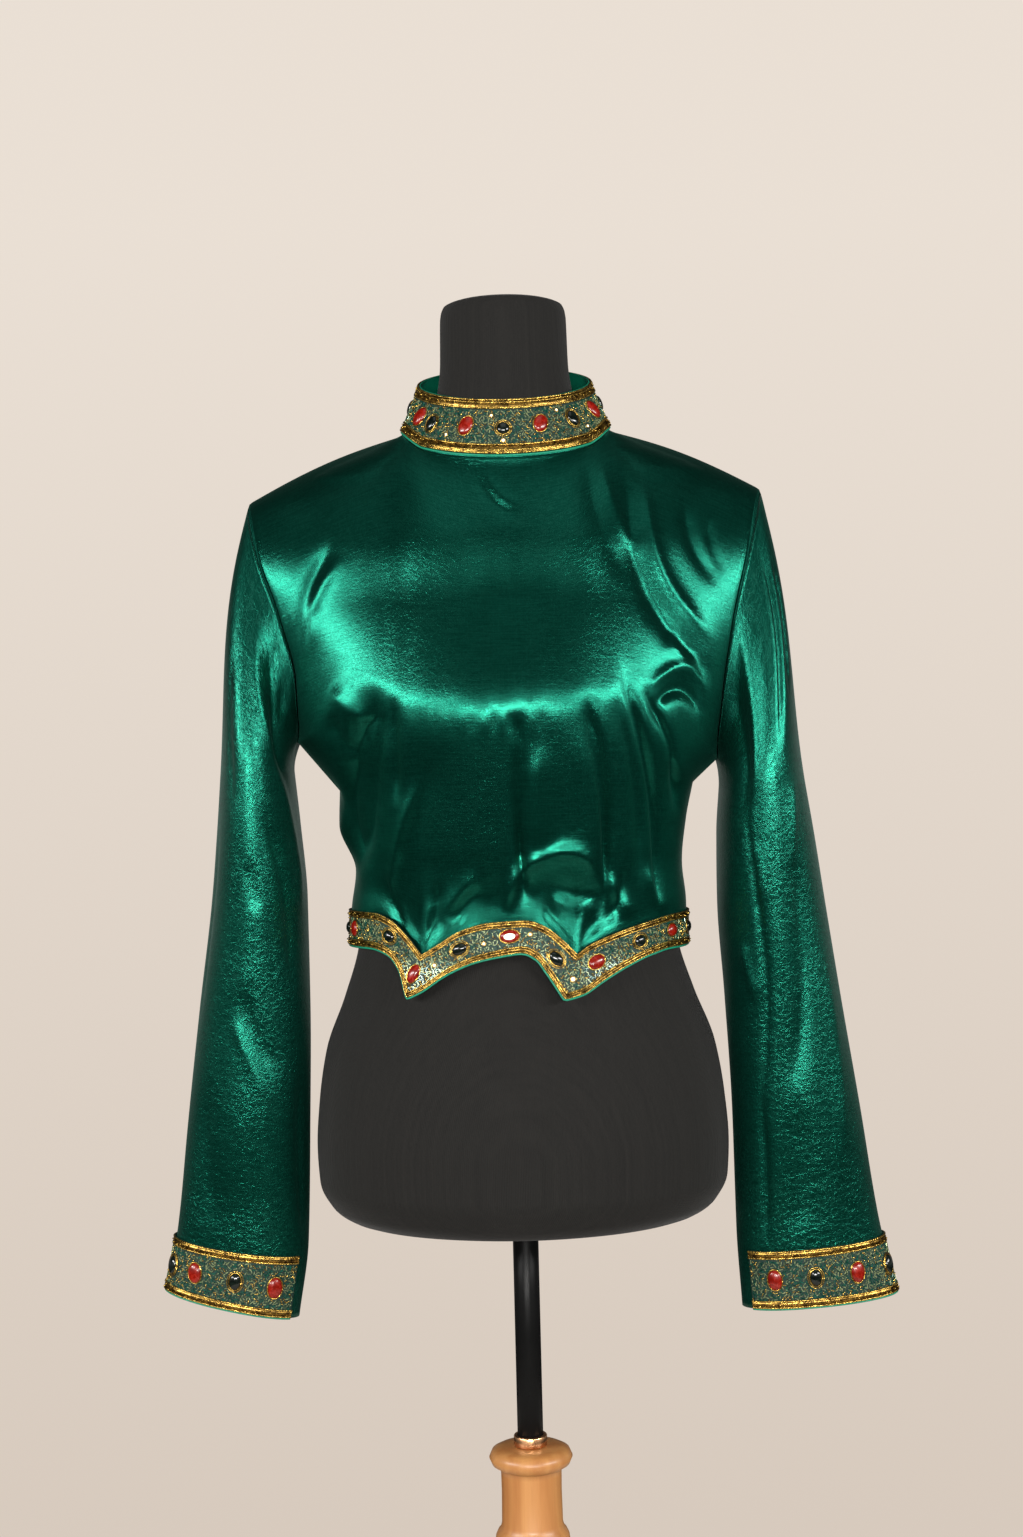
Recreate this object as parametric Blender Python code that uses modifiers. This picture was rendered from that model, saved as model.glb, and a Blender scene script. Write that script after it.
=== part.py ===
# A high collar blouse of satin with beaded borders, worn by a limbless dress form on a turned stand.
# The frame is +Z up, the front faces -Y, and the origin is on the floor under the pole.
# Tables are in millimetres and degrees; finished points are in metres.

import math
from collections import namedtuple

import bmesh
import bpy
from mathutils import Vector

MM = 0.001
LEFT, RIGHT = -1, 1
FRONT, BACK = -1, 1

CLOTH = 1.5            # wall of the satin with its backing
SEAM_GAP = 0.4         # between two pieces at a seam
FORM_CLEARANCE = 2.2   # from the form to the outer face of the cloth that rests on it
TRIM_LIFT = 0.45       # under face of a border above the satin
COLLAR_TRIM_LIFT = 0.75
TRIM_WALL = 1.0        # backing of a border with its beads
GOLD_RISE = 0.8        # braided edge above the beaded ground
STONE_RISE = 3.2       # large stone above the beaded ground
COLLAR_TRIM_END = 178.6       # angle from the front where the collar's border ends
COLLAR_TRIM_FOOT = 0.05       # share of the collar left plain below its border
HEM_TRIM_SIDE = 0.985         # share of a panel's half width where a hem border ends at the side seam
HEM_TRIM_CENTRE = 0.012       # and at the centre back
HEM_DEGREE = 130.0 * math.pi / 180    # length of hem for each degree round it
PLACKET_HALF_COLUMNS = 0.62   # half width of the placket, in columns of the back panels
PLACKET_FOOT_ROW, PLACKET_HEAD_GAP = 2.2, 1.35    # its ends, in rows from the hem and from the collar

NECK_HALF_WIDTH = 79.5
NECK_SIDE_HEIGHT = 1400.0
NECK_FRONT, NECK_REAR = 78.0, 72.0
NECK_DROP, NECK_LIFT = 30.0, 28.0
NECK_SLACK = 1.4       # extra room over the form, but for the two sides of the neck
COLLAR_HEIGHT = 43.0
COLLAR_TOP_HALF_WIDTH = 65.5
COLLAR_TOP_FRONT, COLLAR_TOP_REAR = 65.0, 64.0
COLLAR_RUNS = 3

SHOULDER_RISE = 5.0    # how far the shoulder seam bows above a straight line
NECK_SHARE = 0.42      # part of a panel's half width that meets the collar
FRONT_NECK_RUNS, BACK_NECK_RUNS, SHOULDER_RUNS = 7, 5, 7
ARMHOLE_STEP = 15      # degrees of armhole between two rows
SLEEVE_SIDES = 24
CAP_RUNS, SLEEVE_RUNS = 6, 10

POLE_RADIUS, POLE_FOOT, POLE_GAP = 10.0, 611.3, 0.3
RING_INNER, RING_OUTER, RING_HEIGHT, RING_BEVEL = 10.4, 13.0, 8.6, 1.0

BodyRow = namedtuple("BodyRow", "height left right front rear")
BODY = [
    BodyRow(950, 144, 144, 107, 102),
    BodyRow(975, 137, 137.5, 101.5, 96.5),
    BodyRow(1003, 130.5, 131.5, 97, 93),
    BodyRow(1033, 129, 131.5, 97.5, 92),
    BodyRow(1063, 125, 129, 99, 92),
    BodyRow(1098, 137, 133, 107, 95),
    BodyRow(1125, 136, 139, 114, 97),
]
WAIST, RIBS, UNDERARM = BODY[-3:]

# Rows of a panel from the bust line up: centre height, centre depth and how far its section turns.
UpperRow = namedtuple("UpperRow", "row height depth sweep")
FRONT_UPPER = [UpperRow(4, 1125, 114, 90), UpperRow(5, 1160, 122, 84),
               UpperRow(6, 1190, 125, 72), UpperRow(7, 1225, 118, 60)]
BACK_UPPER = [UpperRow(4, 1125, 97, 90), UpperRow(5, 1160, 99, 84),
              UpperRow(6, 1195, 100, 72), UpperRow(7, 1238, 100, 60)]
YOKE_ROW, TOP_ROW = 7, 11
YOKE_SLACK = 2.0       # extra room over the form away from the shoulder seam
YOKE_CROWDING = 1.35   # how much closer the rows lie where the cloth turns over the shoulder

# The armhole seam, seen from the front: 0 at the shoulder tip and 180 at the armpit.
ArmholeRow = namedtuple("ArmholeRow", "angle out")
ARMHOLE = {
    LEFT: [ArmholeRow(0, 201.5), ArmholeRow(30, 197), ArmholeRow(60, 189), ArmholeRow(90, 174),
           ArmholeRow(120, 164), ArmholeRow(150, 164.5), ArmholeRow(180, 168.6)],
    RIGHT: [ArmholeRow(0, 197), ArmholeRow(30, 190), ArmholeRow(60, 180.5), ArmholeRow(90, 168),
            ArmholeRow(120, 160), ArmholeRow(150, 157), ArmholeRow(180, 158.5)],
}
ARMHOLE_TOP = {LEFT: 1350.0, RIGHT: 1352.0}
ARMHOLE_FOOT = {LEFT: 1164.0, RIGHT: 1142.0}
ARMHOLE_FRONT, ARMHOLE_REAR = 52.0, 56.0

# The hem border's two outlines, seen from the front: -90 and 90 are the side seams.
HemPoint = namedtuple("HemPoint", "angle height")
HEM_FOOT = [
    HemPoint(-90, 1006), HemPoint(-61, 1006.5), HemPoint(-50, 1003), HemPoint(-43, 992),
    HemPoint(-37.6, 970.5), HemPoint(-32.6, 975.5), HemPoint(-23, 989.5), HemPoint(-12.7, 998.5),
    HemPoint(0.5, 1003.5), HemPoint(5.5, 999), HemPoint(9, 988), HemPoint(13.9, 968.5),
    HemPoint(20, 972), HemPoint(27.5, 981), HemPoint(37.5, 990.5), HemPoint(50, 998),
    HemPoint(63, 1001), HemPoint(90, 1001)]
HEM_HEAD = [
    HemPoint(-90, 1033), HemPoint(-59, 1033), HemPoint(-48.5, 1029), HemPoint(-41.5, 1020),
    HemPoint(-33.5, 1003), HemPoint(-28, 1009.5), HemPoint(-16, 1023.5), HemPoint(-2, 1028),
    HemPoint(5.6, 1026.5), HemPoint(11, 1020), HemPoint(19.4, 1001.5), HemPoint(24, 1008),
    HemPoint(30, 1013), HemPoint(40, 1019), HemPoint(50, 1023), HemPoint(63, 1026), HemPoint(90, 1027)]
HEM_TURN_IN = 2.0      # satin edge above the border's own edge
HEM_PANEL_ROWS = 2     # rows of a panel under its hem border
SCALLOP_FEET = [HEM_FOOT[4].angle / 90, HEM_FOOT[11].angle / 90]     # the two points' places across the front
SCALLOP_HEADS = [HEM_HEAD[4].angle / 90, HEM_HEAD[10].angle / 90]

# Sleeve sections: height at mid width, outer and inner side from the middle of the body,
# half depth, centre in depth, and how much higher the outer side is.
SleeveRow = namedtuple("SleeveRow", "height outer inner half_depth middle tilt")
SLEEVE = {
    LEFT: [
        SleeveRow(1140, 227, 172, 74, -1, 0), SleeveRow(1100, 230.5, 168, 71, -2, 0),
        SleeveRow(1042, 236.5, 163.5, 64, -3, 0), SleeveRow(960, 248, 163, 54, -5, 0),
        SleeveRow(867, 259.5, 165, 44, -8, 4), SleeveRow(785, 268.5, 168, 33, -11, 15),
        SleeveRow(732, 278.5, 176.5, 27, -12, 24)],
    RIGHT: [
        SleeveRow(1120, 225.5, 160, 74, -1, 0), SleeveRow(1085, 231, 157, 70, -2, 0),
        SleeveRow(1031, 238.5, 156, 63, -3, 0), SleeveRow(960, 248.5, 159.5, 54, -5, 0),
        SleeveRow(867, 262, 163, 44, -8, 3), SleeveRow(785, 273, 163.5, 33, -11, 8),
        SleeveRow(724, 286, 166.5, 27, -12, 9)],
}
SLEEVE_FLATNESS = 0.86  # below 1, a sleeve's inner side is flatter than half an ellipse
CUFF_HEIGHT = 45.0
CUFF_TRIM_END = 149.0  # angle from the outer side where a cuff's border ends, short of the under seam
CUFF_TRIM_FOOT = 0.01  # share of the cuff left plain below its border
CUFF_DEGREE = 0.74     # length of cuff for each degree round it

# The largest folds, as seen from the front. A positive depth is a groove, a negative one a ridge.
Fold = namedtuple("Fold", "x0 z0 x1 z1 bow width depth")
FRONT_FOLDS = [
    Fold(5, 1146, 3, 1058, 3, 11, 3.5), Fold(60, 1172, 66, 1056, -5, 12, 3.5),
    Fold(86, 1194, 106, 1036, 6, 12, 3.0), Fold(110, 1183, 122, 1132, 3, 10, 2.5),
    Fold(-72, 1103, -94, 1046, 3, 13, 3.0), Fold(28, 1078, -6, 1043, 5, 12, 2.5),
    Fold(-118, 1188, -128, 1120, 2, 14, 3.0), Fold(28, 1150, 30, 1062, 4, 13, -3.0),
    Fold(-30, 1150, -24, 1070, 3, 16, -2.5), Fold(90, 1344, 150, 1206, 18, 12, 3.5),
    Fold(60, 1362, 84, 1281, 4, 14, 2.5), Fold(-20, 1359, 2, 1327, 4, 14, 2.5),
    Fold(-138, 1304, -155, 1220, 8, 11, 3.0), Fold(114, 1192, 139, 1184, -9, 10, 2.5),
    Fold(-132, 1196, -95, 1180, 3, 13, -3.0), Fold(120, 1340, 158, 1270, 8, 12, -2.5),
]
BACK_FOLDS = [
    Fold(40, 1160, 46, 1040, 4, 14, 3.0), Fold(-42, 1165, -36, 1045, -4, 14, 3.0),
    Fold(92, 1200, 104, 1060, 5, 15, 3.0), Fold(-96, 1190, -88, 1050, -5, 15, 3.0),
    Fold(120, 1330, 148, 1230, 8, 14, 2.5), Fold(-118, 1325, -150, 1232, -8, 14, 2.5),
]
# Sleeve folds run between two places: angle round the sleeve and height.
SLEEVE_FOLDS = {
    LEFT: [Fold(62, 1250, 112, 1150, 8, 13, 3.0), Fold(95, 1215, 120, 1120, 4, 12, 2.5),
           Fold(60, 940, 95, 890, 5, 14, 2.5), Fold(110, 1040, 84, 960, 5, 15, 2.0),
           Fold(300, 1180, 250, 1060, 6, 15, 3.0), Fold(290, 960, 255, 900, 5, 15, 2.5)],
    RIGHT: [Fold(118, 1280, 98, 1190, 6, 12, 3.0), Fold(70, 1290, 92, 1150, 6, 13, 2.5),
            Fold(112, 1080, 96, 930, 8, 14, 3.0), Fold(62, 1030, 70, 880, 5, 15, 2.5),
            Fold(300, 1170, 255, 1070, 6, 15, 3.0), Fold(292, 950, 250, 890, 5, 15, 2.5)],
}

# Large stones: place along a border and size along it.
Stone = namedtuple("Stone", "place along")
# Round the collar the place is the angle from the front.
COLLAR_STONES = [
    Stone(-150, 10), Stone(-122, 15), Stone(-94, 10), Stone(-62, 12), Stone(-49, 10), Stone(-24, 10),
    Stone(-1.5, 11), Stone(21, 13), Stone(44, 11), Stone(66, 10), Stone(94, 15), Stone(122, 10), Stone(150, 11)]
# Along the hem the place is the angle between the side seams.
HEM_STONES = [
    Stone(-69, 11), Stone(-47.5, 14), Stone(-35.6, 10), Stone(-19.5, 13), Stone(-3, 15),
    Stone(12.7, 10), Stone(25.5, 12), Stone(43, 13), Stone(61, 11), Stone(79, 13)]
HEM_BACK_STONES = [Stone(28, 13), Stone(60, 11)]
# Round a cuff the place is the angle from its outer side, through the front.
CUFF_STONES = {
    LEFT: [Stone(22, 13), Stone(55, 11), Stone(91, 13), Stone(124, 11), Stone(236, 13), Stone(272, 11),
           Stone(308, 13)],
    RIGHT: [Stone(20, 13), Stone(60, 11), Stone(92, 13), Stone(122, 11), Stone(236, 13), Stone(272, 11),
            Stone(308, 13)],
}

FormRow = namedtuple("FormRow", "height half_width front rear")
FORM = [
    FormRow(790, 118, 88, 88), FormRow(793, 134, 99, 99), FormRow(803, 149, 108, 109),
    FormRow(822, 158.5, 113, 115), FormRow(850, 160, 113, 117), FormRow(885, 157.5, 110, 115),
    FormRow(925, 151, 102, 109), FormRow(965, 136, 93, 98), FormRow(1005, 124, 89, 88),
    FormRow(1045, 119.5, 89, 84), FormRow(1075, 121, 93, 85), FormRow(1105, 126, 102, 88),
    FormRow(1135, 132, 111, 91), FormRow(1160, 141, 116.5, 93), FormRow(1182, 146.5, 118.5, 94),
    FormRow(1205, 150, 114.5, 94.5), FormRow(1238, 154, 105, 95), FormRow(1275, 159, 96, 94),
    FormRow(1310, 163, 82, 85), FormRow(1338, 165, 72, 76), FormRow(1353, 164.5, 64, 67),
    FormRow(1363, 159, 58, 60), FormRow(1370.5, 146, 54, 56), FormRow(1378, 128, 51, 53.5),
    FormRow(1385.5, 109, 47, 51), FormRow(1391.8, 94, 45.5, 50), FormRow(1398.4, 79, 45, 49.5),
    FormRow(1404, 68, 45.5, 49.5), FormRow(1414, 59, 46.5, 49), FormRow(1430, 53, 47.5, 49),
    FormRow(1452, 50, 47.5, 48.5), FormRow(1490, 49, 47.5, 48), FormRow(1498, 46.5, 45, 45.5)]
FORM_SIDES = 28
FORM_TOP = 1500.0
FORM_TOP_INSET = 5.0

# Turned outline of the post, from its cap down to the base: height and radius.
TurnPoint = namedtuple("TurnPoint", "height radius")
POST = [
    TurnPoint(611, 15), TurnPoint(610.4, 26), TurnPoint(608, 30.5), TurnPoint(603, 32.5),
    TurnPoint(598, 30.5), TurnPoint(595.5, 26), TurnPoint(594, 23.8), TurnPoint(576, 23.4),
    TurnPoint(552, 23.8), TurnPoint(544, 28), TurnPoint(532, 29), TurnPoint(524, 25.5),
    TurnPoint(300, 28), TurnPoint(110, 30), TurnPoint(100, 34), TurnPoint(88, 31.5),
    TurnPoint(56, 37), TurnPoint(30.4, 52)]
BASE = [
    TurnPoint(30, 150), TurnPoint(28, 158), TurnPoint(24, 164), TurnPoint(17, 168.5),
    TurnPoint(10, 170), TurnPoint(3, 170), TurnPoint(0, 167)]


class Smooth:
    """A table's columns as smooth functions of its first column, with no overshoot."""

    def __init__(self, rows):
        self.rows = [tuple(row) for row in rows]
        self.slopes = [self.slope_at(k) for k in range(len(rows))]

    def secants(self, k):
        low, high = self.rows[k], self.rows[k + 1]
        return [(b - a) / (high[0] - low[0]) for a, b in zip(low[1:], high[1:])]

    def slope_at(self, k):
        if k == 0:
            return self.secants(0)
        if k == len(self.rows) - 1:
            return self.secants(k - 1)
        pairs = zip(self.secants(k - 1), self.secants(k))
        return [2 * a * b / (a + b) if a * b > 0 else 0.0 for a, b in pairs]

    def __call__(self, place):
        place = min(max(place, self.rows[0][0]), self.rows[-1][0])
        k = 0
        while k < len(self.rows) - 2 and place > self.rows[k + 1][0]:
            k += 1
        low, high = self.rows[k], self.rows[k + 1]
        span = high[0] - low[0]
        q = (place - low[0]) / span
        ends = zip(low[1:], self.slopes[k], high[1:], self.slopes[k + 1])
        return [hermite(a, slope_a * span, b, slope_b * span, q) for a, slope_a, b, slope_b in ends]


def hermite(start, start_pull, end, end_pull, q):
    return (start * (2 * q ** 3 - 3 * q ** 2 + 1) + start_pull * (q ** 3 - 2 * q ** 2 + q)
            + end * (3 * q ** 2 - 2 * q ** 3) + end_pull * (q ** 3 - q ** 2))


def ease(low, high, value):
    q = min(max((value - low) / (high - low), 0.0), 1.0)
    return q * q * (3 - 2 * q)


body_at = Smooth(BODY)
form_at = Smooth(FORM)
upper_at = {FRONT: Smooth(FRONT_UPPER), BACK: Smooth(BACK_UPPER)}
armhole_out = {side: Smooth(rows) for side, rows in ARMHOLE.items()}
sleeve_at = {side: Smooth([(-row.height,) + tuple(row)[1:] for row in rows]) for side, rows in SLEEVE.items()}
hem_foot_at, hem_head_at = Smooth(HEM_FOOT), Smooth(HEM_HEAD)


def form_excess(point):
    half_width, front, rear = form_at(point.z)
    depth = front if point.y < 0 else rear
    return math.hypot(point.x / half_width, point.y / depth) - 1


def clear_of_form(point, slack=0.0):
    """Lift a point of the cloth off the form, as cloth rests on it."""
    point = Vector(point)
    step = 0.5
    for _ in range(4):
        if not FORM[0].height < point.z < FORM[-1].height:
            break
        pull = Vector([form_excess(point + step * axis) - form_excess(point - step * axis)
                       for axis in (Vector((1, 0, 0)), Vector((0, 1, 0)), Vector((0, 0, 1)))]) / (2 * step)
        short = FORM_CLEARANCE + slack - form_excess(point) / pull.length
        if short <= 0:
            break
        point += pull.normalized() * short
    return point


def neckline(angle):
    """The collar seam; the angle is 0 at the front and 90 at the right shoulder."""
    turn = math.radians(angle)
    ahead = math.cos(turn)
    depth = NECK_FRONT if ahead > 0 else NECK_REAR
    rise = NECK_DROP if ahead > 0 else NECK_LIFT
    point = (NECK_HALF_WIDTH * math.sin(turn), -depth * ahead, NECK_SIDE_HEIGHT - rise * ahead)
    return clear_of_form(point, NECK_SLACK * min(1, 3 * abs(ahead)))


def armhole(side, angle):
    """The armhole seam; 0 is the shoulder tip, 90 the front, 180 the armpit and 270 the back."""
    turn = math.radians(angle)
    out = armhole_out[side](min(angle, 360 - angle))[0]
    depth = ARMHOLE_FRONT if angle < 180 else ARMHOLE_REAR
    middle = (ARMHOLE_TOP[side] + ARMHOLE_FOOT[side]) / 2
    half = (ARMHOLE_TOP[side] - ARMHOLE_FOOT[side]) / 2
    return clear_of_form((side * out, -depth * math.sin(turn), middle + half * math.cos(turn)))


def shoulder(side, share):
    """The shoulder seam from the collar, at share 0, to the tip, at share 1."""
    point = neckline(side * 90).lerp(armhole(side, 0), share)
    point.z += SHOULDER_RISE * math.sin(math.pi * share)
    return clear_of_form(point)


def top_edge(face, s):
    """A panel's upper edge: the collar seam in the middle and a shoulder seam at each side."""
    side = RIGHT if s > 0 else LEFT
    if abs(s) > NECK_SHARE:
        return shoulder(side, (abs(s) - NECK_SHARE) / (1 - NECK_SHARE))
    turn = 90 * s / NECK_SHARE
    return neckline(turn if face == FRONT else 180 - turn)


def hem_level(outline, face, s):
    """The height of the hem border's edge; across the back it runs straight between the side seams."""
    if face == FRONT:
        return outline(90 * s)[0]
    left, right = outline(-90)[0], outline(90)[0]
    return left + (right - left) * (1 + s) / 2


def low_height(face, s, row):
    stops = [hem_level(hem_foot_at, face, s) + HEM_TURN_IN, hem_level(hem_head_at, face, s),
             WAIST.height, RIBS.height, UNDERARM.height]
    k = min(int(row), 3)
    return stops[k] + (stops[k + 1] - stops[k]) * (row - k)


def girth_point(face, s, height):
    left, right, front, rear = body_at(height)
    turn = math.radians(90 * s)
    half = right if s > 0 else left
    depth = front if face == FRONT else rear
    return Vector((half * math.sin(turn), face * depth * math.cos(turn), height))


def arc_row(face, s, row):
    """A row between the waist and the chest, from the centre line to its side edge."""
    height, depth, sweep = upper_at[face](row)
    side = RIGHT if s > 0 else LEFT
    if row < 5:
        low = girth_point(face, side, UNDERARM.height)
        edge = low.lerp(armhole(side, 180), row - 4)
    else:
        angle = 180 - 30 * (row - 5)
        edge = armhole(side, angle if face == FRONT else 360 - angle)
    turn = math.radians(sweep)
    across = math.sin(abs(s) * turn) / math.sin(turn)
    back = (1 - math.cos(s * turn)) / (1 - math.cos(turn))
    return Vector((edge.x * across, face * depth + (edge.y - face * depth) * back,
                   height + (edge.z - height) * s * s))


def yoke_point(face, s, row):
    """The chest or shoulder blades, from the arc rows up to the collar and shoulder seams."""
    side = RIGHT if s > 0 else LEFT
    span = TOP_ROW - YOKE_ROW
    q = (row - YOKE_ROW) / span
    start, end = arc_row(face, s, YOKE_ROW), top_edge(face, s)
    start_pull = (start - arc_row(face, s, YOKE_ROW - 0.1)) * 10 * span
    over = ease(0, NECK_SHARE, abs(s))
    end_pull = Vector((0, -face * (0.25 + 0.7 * over), 1 - 0.7 * over)) * (end - start).length * (1 + 0.15 * over)
    crowd = 1 - (1 - q) ** YOKE_CROWDING
    point = hermite(start, start_pull, end, end_pull, crowd + (q - crowd) * ease(0.4, 1, abs(s)))
    if abs(s) > 0.4:
        edge_start, edge_end = arc_row(face, side, YOKE_ROW), top_edge(face, side)
        edge_pull = (edge_start - arc_row(face, side, YOKE_ROW - 0.1)) * 10 * span
        last = Vector((0, -face * 0.95, 0.3)) * (edge_end - edge_start).length * 1.15
        angle = 120 * (1 - q)
        seam = armhole(side, angle if face == FRONT else (360 - angle) % 360)
        point += (seam - hermite(edge_start, edge_pull, edge_end, last, q)) * ease(0.4, 1, abs(s))
    return point


def panel_point(face, s, row):
    if row <= 4:
        return girth_point(face, s, low_height(face, s, row))
    if row < YOKE_ROW:
        return clear_of_form(arc_row(face, s, row))
    if row >= TOP_ROW:
        return top_edge(face, s)
    return clear_of_form(yoke_point(face, s, row), YOKE_SLACK * min(1, TOP_ROW - row))


def sleeve_ring(side, angle, height):
    """A sleeve's section; the angle is 0 at its outer side and 90 at its front."""
    outer, inner, half_depth, middle, tilt = sleeve_at[side](-height)
    turn = math.radians(angle)
    out = math.cos(turn)
    flat = SLEEVE_FLATNESS if out < 0 else 1.0
    swing = math.copysign(abs(out) ** flat, out)
    return Vector((side * ((outer + inner) / 2 + (outer - inner) / 2 * swing),
                   middle - half_depth * math.sin(turn), height + tilt / 2 * swing))


def sleeve_point(side, angle, row):
    rows = SLEEVE[side]
    if row >= CAP_RUNS:
        share = (row - CAP_RUNS) / SLEEVE_RUNS
        return sleeve_ring(side, angle, rows[0].height + (rows[-1].height - rows[0].height) * share)
    start, end = armhole(side, angle), sleeve_ring(side, angle, rows[0].height)
    turn = math.radians(angle)
    roll = abs(math.sin(turn))
    length = (end - start).length
    start_pull = Vector((side * (0.22 + 0.3 * roll), -0.3 * math.sin(turn), -0.85)) * length
    below = sleeve_ring(side, angle, rows[0].height - 5)
    end_pull = (below - end).normalized() * length
    return hermite(start, start_pull, end, end_pull, row / CAP_RUNS)


def fold_depth(folds, x, z):
    """How deep the folds press the cloth in at a place seen from the front."""
    total = 0.0
    for fold in folds:
        run = Vector((fold.x1 - fold.x0, fold.z1 - fold.z0))
        off = Vector((x - fold.x0, z - fold.z0))
        along = off.dot(run) / run.length_squared
        if not -0.15 < along < 1.15:
            continue
        bow = fold.bow * math.sin(math.pi * min(max(along, 0), 1))
        away = (off.x * run.y - off.y * run.x) / run.length - bow
        fade = ease(-0.15, 0.25, along) * (1 - ease(0.75, 1.15, along))
        total += fold.depth * fade * math.exp(-(away / fold.width) ** 2)
    return total


def grid_normals(grid, closed):
    """Unit normals of a grid of points, on the side that the rows' cross product gives."""
    rows, columns = len(grid), len(grid[0])
    normals = []
    for j in range(rows):
        line = []
        for i in range(columns):
            if closed:
                across = grid[j][(i + 1) % columns] - grid[j][i - 1]
            else:
                across = grid[j][min(i + 1, columns - 1)] - grid[j][max(i - 1, 0)]
            up = grid[min(j + 1, rows - 1)][i] - grid[max(j - 1, 0)][i]
            line.append(across.cross(up).normalized())
        normals.append(line)
    return normals


class Cloth:
    """One piece of satin: its outer points row by row, their normals, and later its inner points."""

    def __init__(self, name, group, grid, closed=False):
        self.name, self.group, self.grid, self.closed = name, group, grid, closed
        self.normals = grid_normals(grid, closed)

    def press_folds(self, depths):
        for line, normals, row in zip(self.grid, self.normals, depths):
            for i, depth in enumerate(row):
                line[i] = line[i] - normals[i] * depth
        self.normals = grid_normals(self.grid, self.closed)

    def at(self, column, row, lift):
        """A point above the cloth's own flat facets, for what lies on it."""
        count = len(self.grid[0])
        j = min(int(row), len(self.grid) - 2)
        i = int(column) if self.closed else min(int(column), count - 2)
        a, b = column - i, row - j

        def blend(table):
            near, far = table[j], table[j + 1]
            low = near[i % count].lerp(near[(i + 1) % count], a)
            return low.lerp(far[i % count].lerp(far[(i + 1) % count], a), b)
        return blend(self.grid) + blend(self.normals).normalized() * lift


def seam_key(point):
    return tuple(round(value, 2) for value in point)


def back_walls(pieces):
    """Give every piece its inner face; where pieces meet, the wall is mitred and a seam gap is left."""
    meetings = {}
    for piece in pieces:
        for line, normals in zip(piece.grid, piece.normals):
            for point, normal in zip(line, normals):
                groups = meetings.setdefault(seam_key(point), {})
                groups[piece.group] = groups.get(piece.group, Vector()) + normal
    means = {}
    for key, groups in meetings.items():
        means[key] = sum((total.normalized() for total in groups.values()), Vector()) / len(groups)
    for piece in pieces:
        piece.miters = []
        piece.inner = []
        for line in piece.grid:
            found = [means[seam_key(point)] for point in line]
            miters = [mean.normalized() for mean in found]
            depths = [CLOTH / max(mean.length, 0.5) for mean in found]
            piece.miters.append(miters)
            piece.inner.append([p - m * d for p, m, d in zip(line, miters, depths)])
    for piece in pieces:
        draw_back(piece)


def draw_back(piece):
    """Move a piece's edges half a seam gap into the piece, square to the seam."""
    last_row, last_column = len(piece.grid) - 1, len(piece.grid[0]) - 1
    columns = range(last_column + 1)
    edges = [[(0, i) for i in columns], [(last_row, i) for i in columns]]
    inward = [(1, 0), (-1, 0)]
    if not piece.closed:
        rows = range(last_row + 1)
        edges += [[(j, 0) for j in rows], [(j, last_column) for j in rows]]
        inward += [(0, 1), (0, -1)]
    moves = []
    for edge, (down, along) in zip(edges, inward):
        for k, (j, i) in enumerate(edge):
            before, after = edge[max(k - 1, 0)], edge[min(k + 1, len(edge) - 1)]
            run = (piece.grid[after[0]][after[1]] - piece.grid[before[0]][before[1]]).normalized()
            miter = piece.miters[j][i]
            inside = piece.grid[j + down][i + along] - piece.grid[j][i]
            square = inside - miter * inside.dot(miter)
            square -= run * square.dot(run)
            if square.length > 1e-6:
                moves.append((j, i, square.normalized() * SEAM_GAP / 2))
    for j, i, move in moves:
        piece.grid[j][i] = piece.grid[j][i] + move
        piece.inner[j][i] = piece.inner[j][i] + move


def panel_columns(neck_runs, pins=()):
    """Places across a panel from -1 to 1, with chosen ones moved onto the scallops' points."""
    half = [NECK_SHARE * k / neck_runs for k in range(neck_runs)]
    half += [NECK_SHARE + (1 - NECK_SHARE) * k / SHOULDER_RUNS for k in range(SHOULDER_RUNS + 1)]
    places = sorted([-s for s in half[1:]] + half)
    for pin in pins:
        nearest = min(range(len(places)), key=lambda k: abs(places[k] - pin))
        places[nearest] = pin
    return places


def panel_rows():
    low = [k / 2 for k in range(10)]
    steps = int(180 / ARMHOLE_STEP)
    return low + [5 + (TOP_ROW - 5) * k / steps for k in range(steps + 1)]


def make_panel(name, face, places, folds):
    """A front or back panel; a back panel's places run the other way, so its normals face out."""
    rows = panel_rows()
    order = places if face == FRONT else places[::-1]
    piece = Cloth(name, "body", [[panel_point(face, s, row) for s in order] for row in rows])
    depths = []
    for row, line in zip(rows, piece.grid):
        hold = ease(0, 1.4, row) * (1 - ease(TOP_ROW - 2, TOP_ROW, row))
        depths.append([fold_depth(folds, p.x, p.z) * hold * (1 - ease(0.72, 1, abs(s)))
                       for s, p in zip(order, line)])
    piece.press_folds(depths)
    return piece


def make_sleeve(side):
    """A sleeve; its columns run round it, so that its normals face out on either side."""
    angles = [360 * k / SLEEVE_SIDES for k in range(SLEEVE_SIDES)]
    if side == RIGHT:
        angles = [(360 - angle) % 360 for angle in angles]
    runs = CAP_RUNS + SLEEVE_RUNS
    grid = [[sleeve_point(side, angle, row) for angle in angles] for row in range(runs, -1, -1)]
    piece = Cloth("sleeve_left" if side == LEFT else "sleeve_right", "sleeve", grid, closed=True)
    depths = []
    for row, line in zip(range(runs, -1, -1), piece.grid):
        hold = ease(0, 2.5, row) * (1 - ease(runs - 2.5, runs - 1, row))
        depths.append([fold_depth(SLEEVE_FOLDS[side], angle, p.z) * hold for angle, p in zip(angles, line)])
    piece.press_folds(depths)
    return piece


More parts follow.
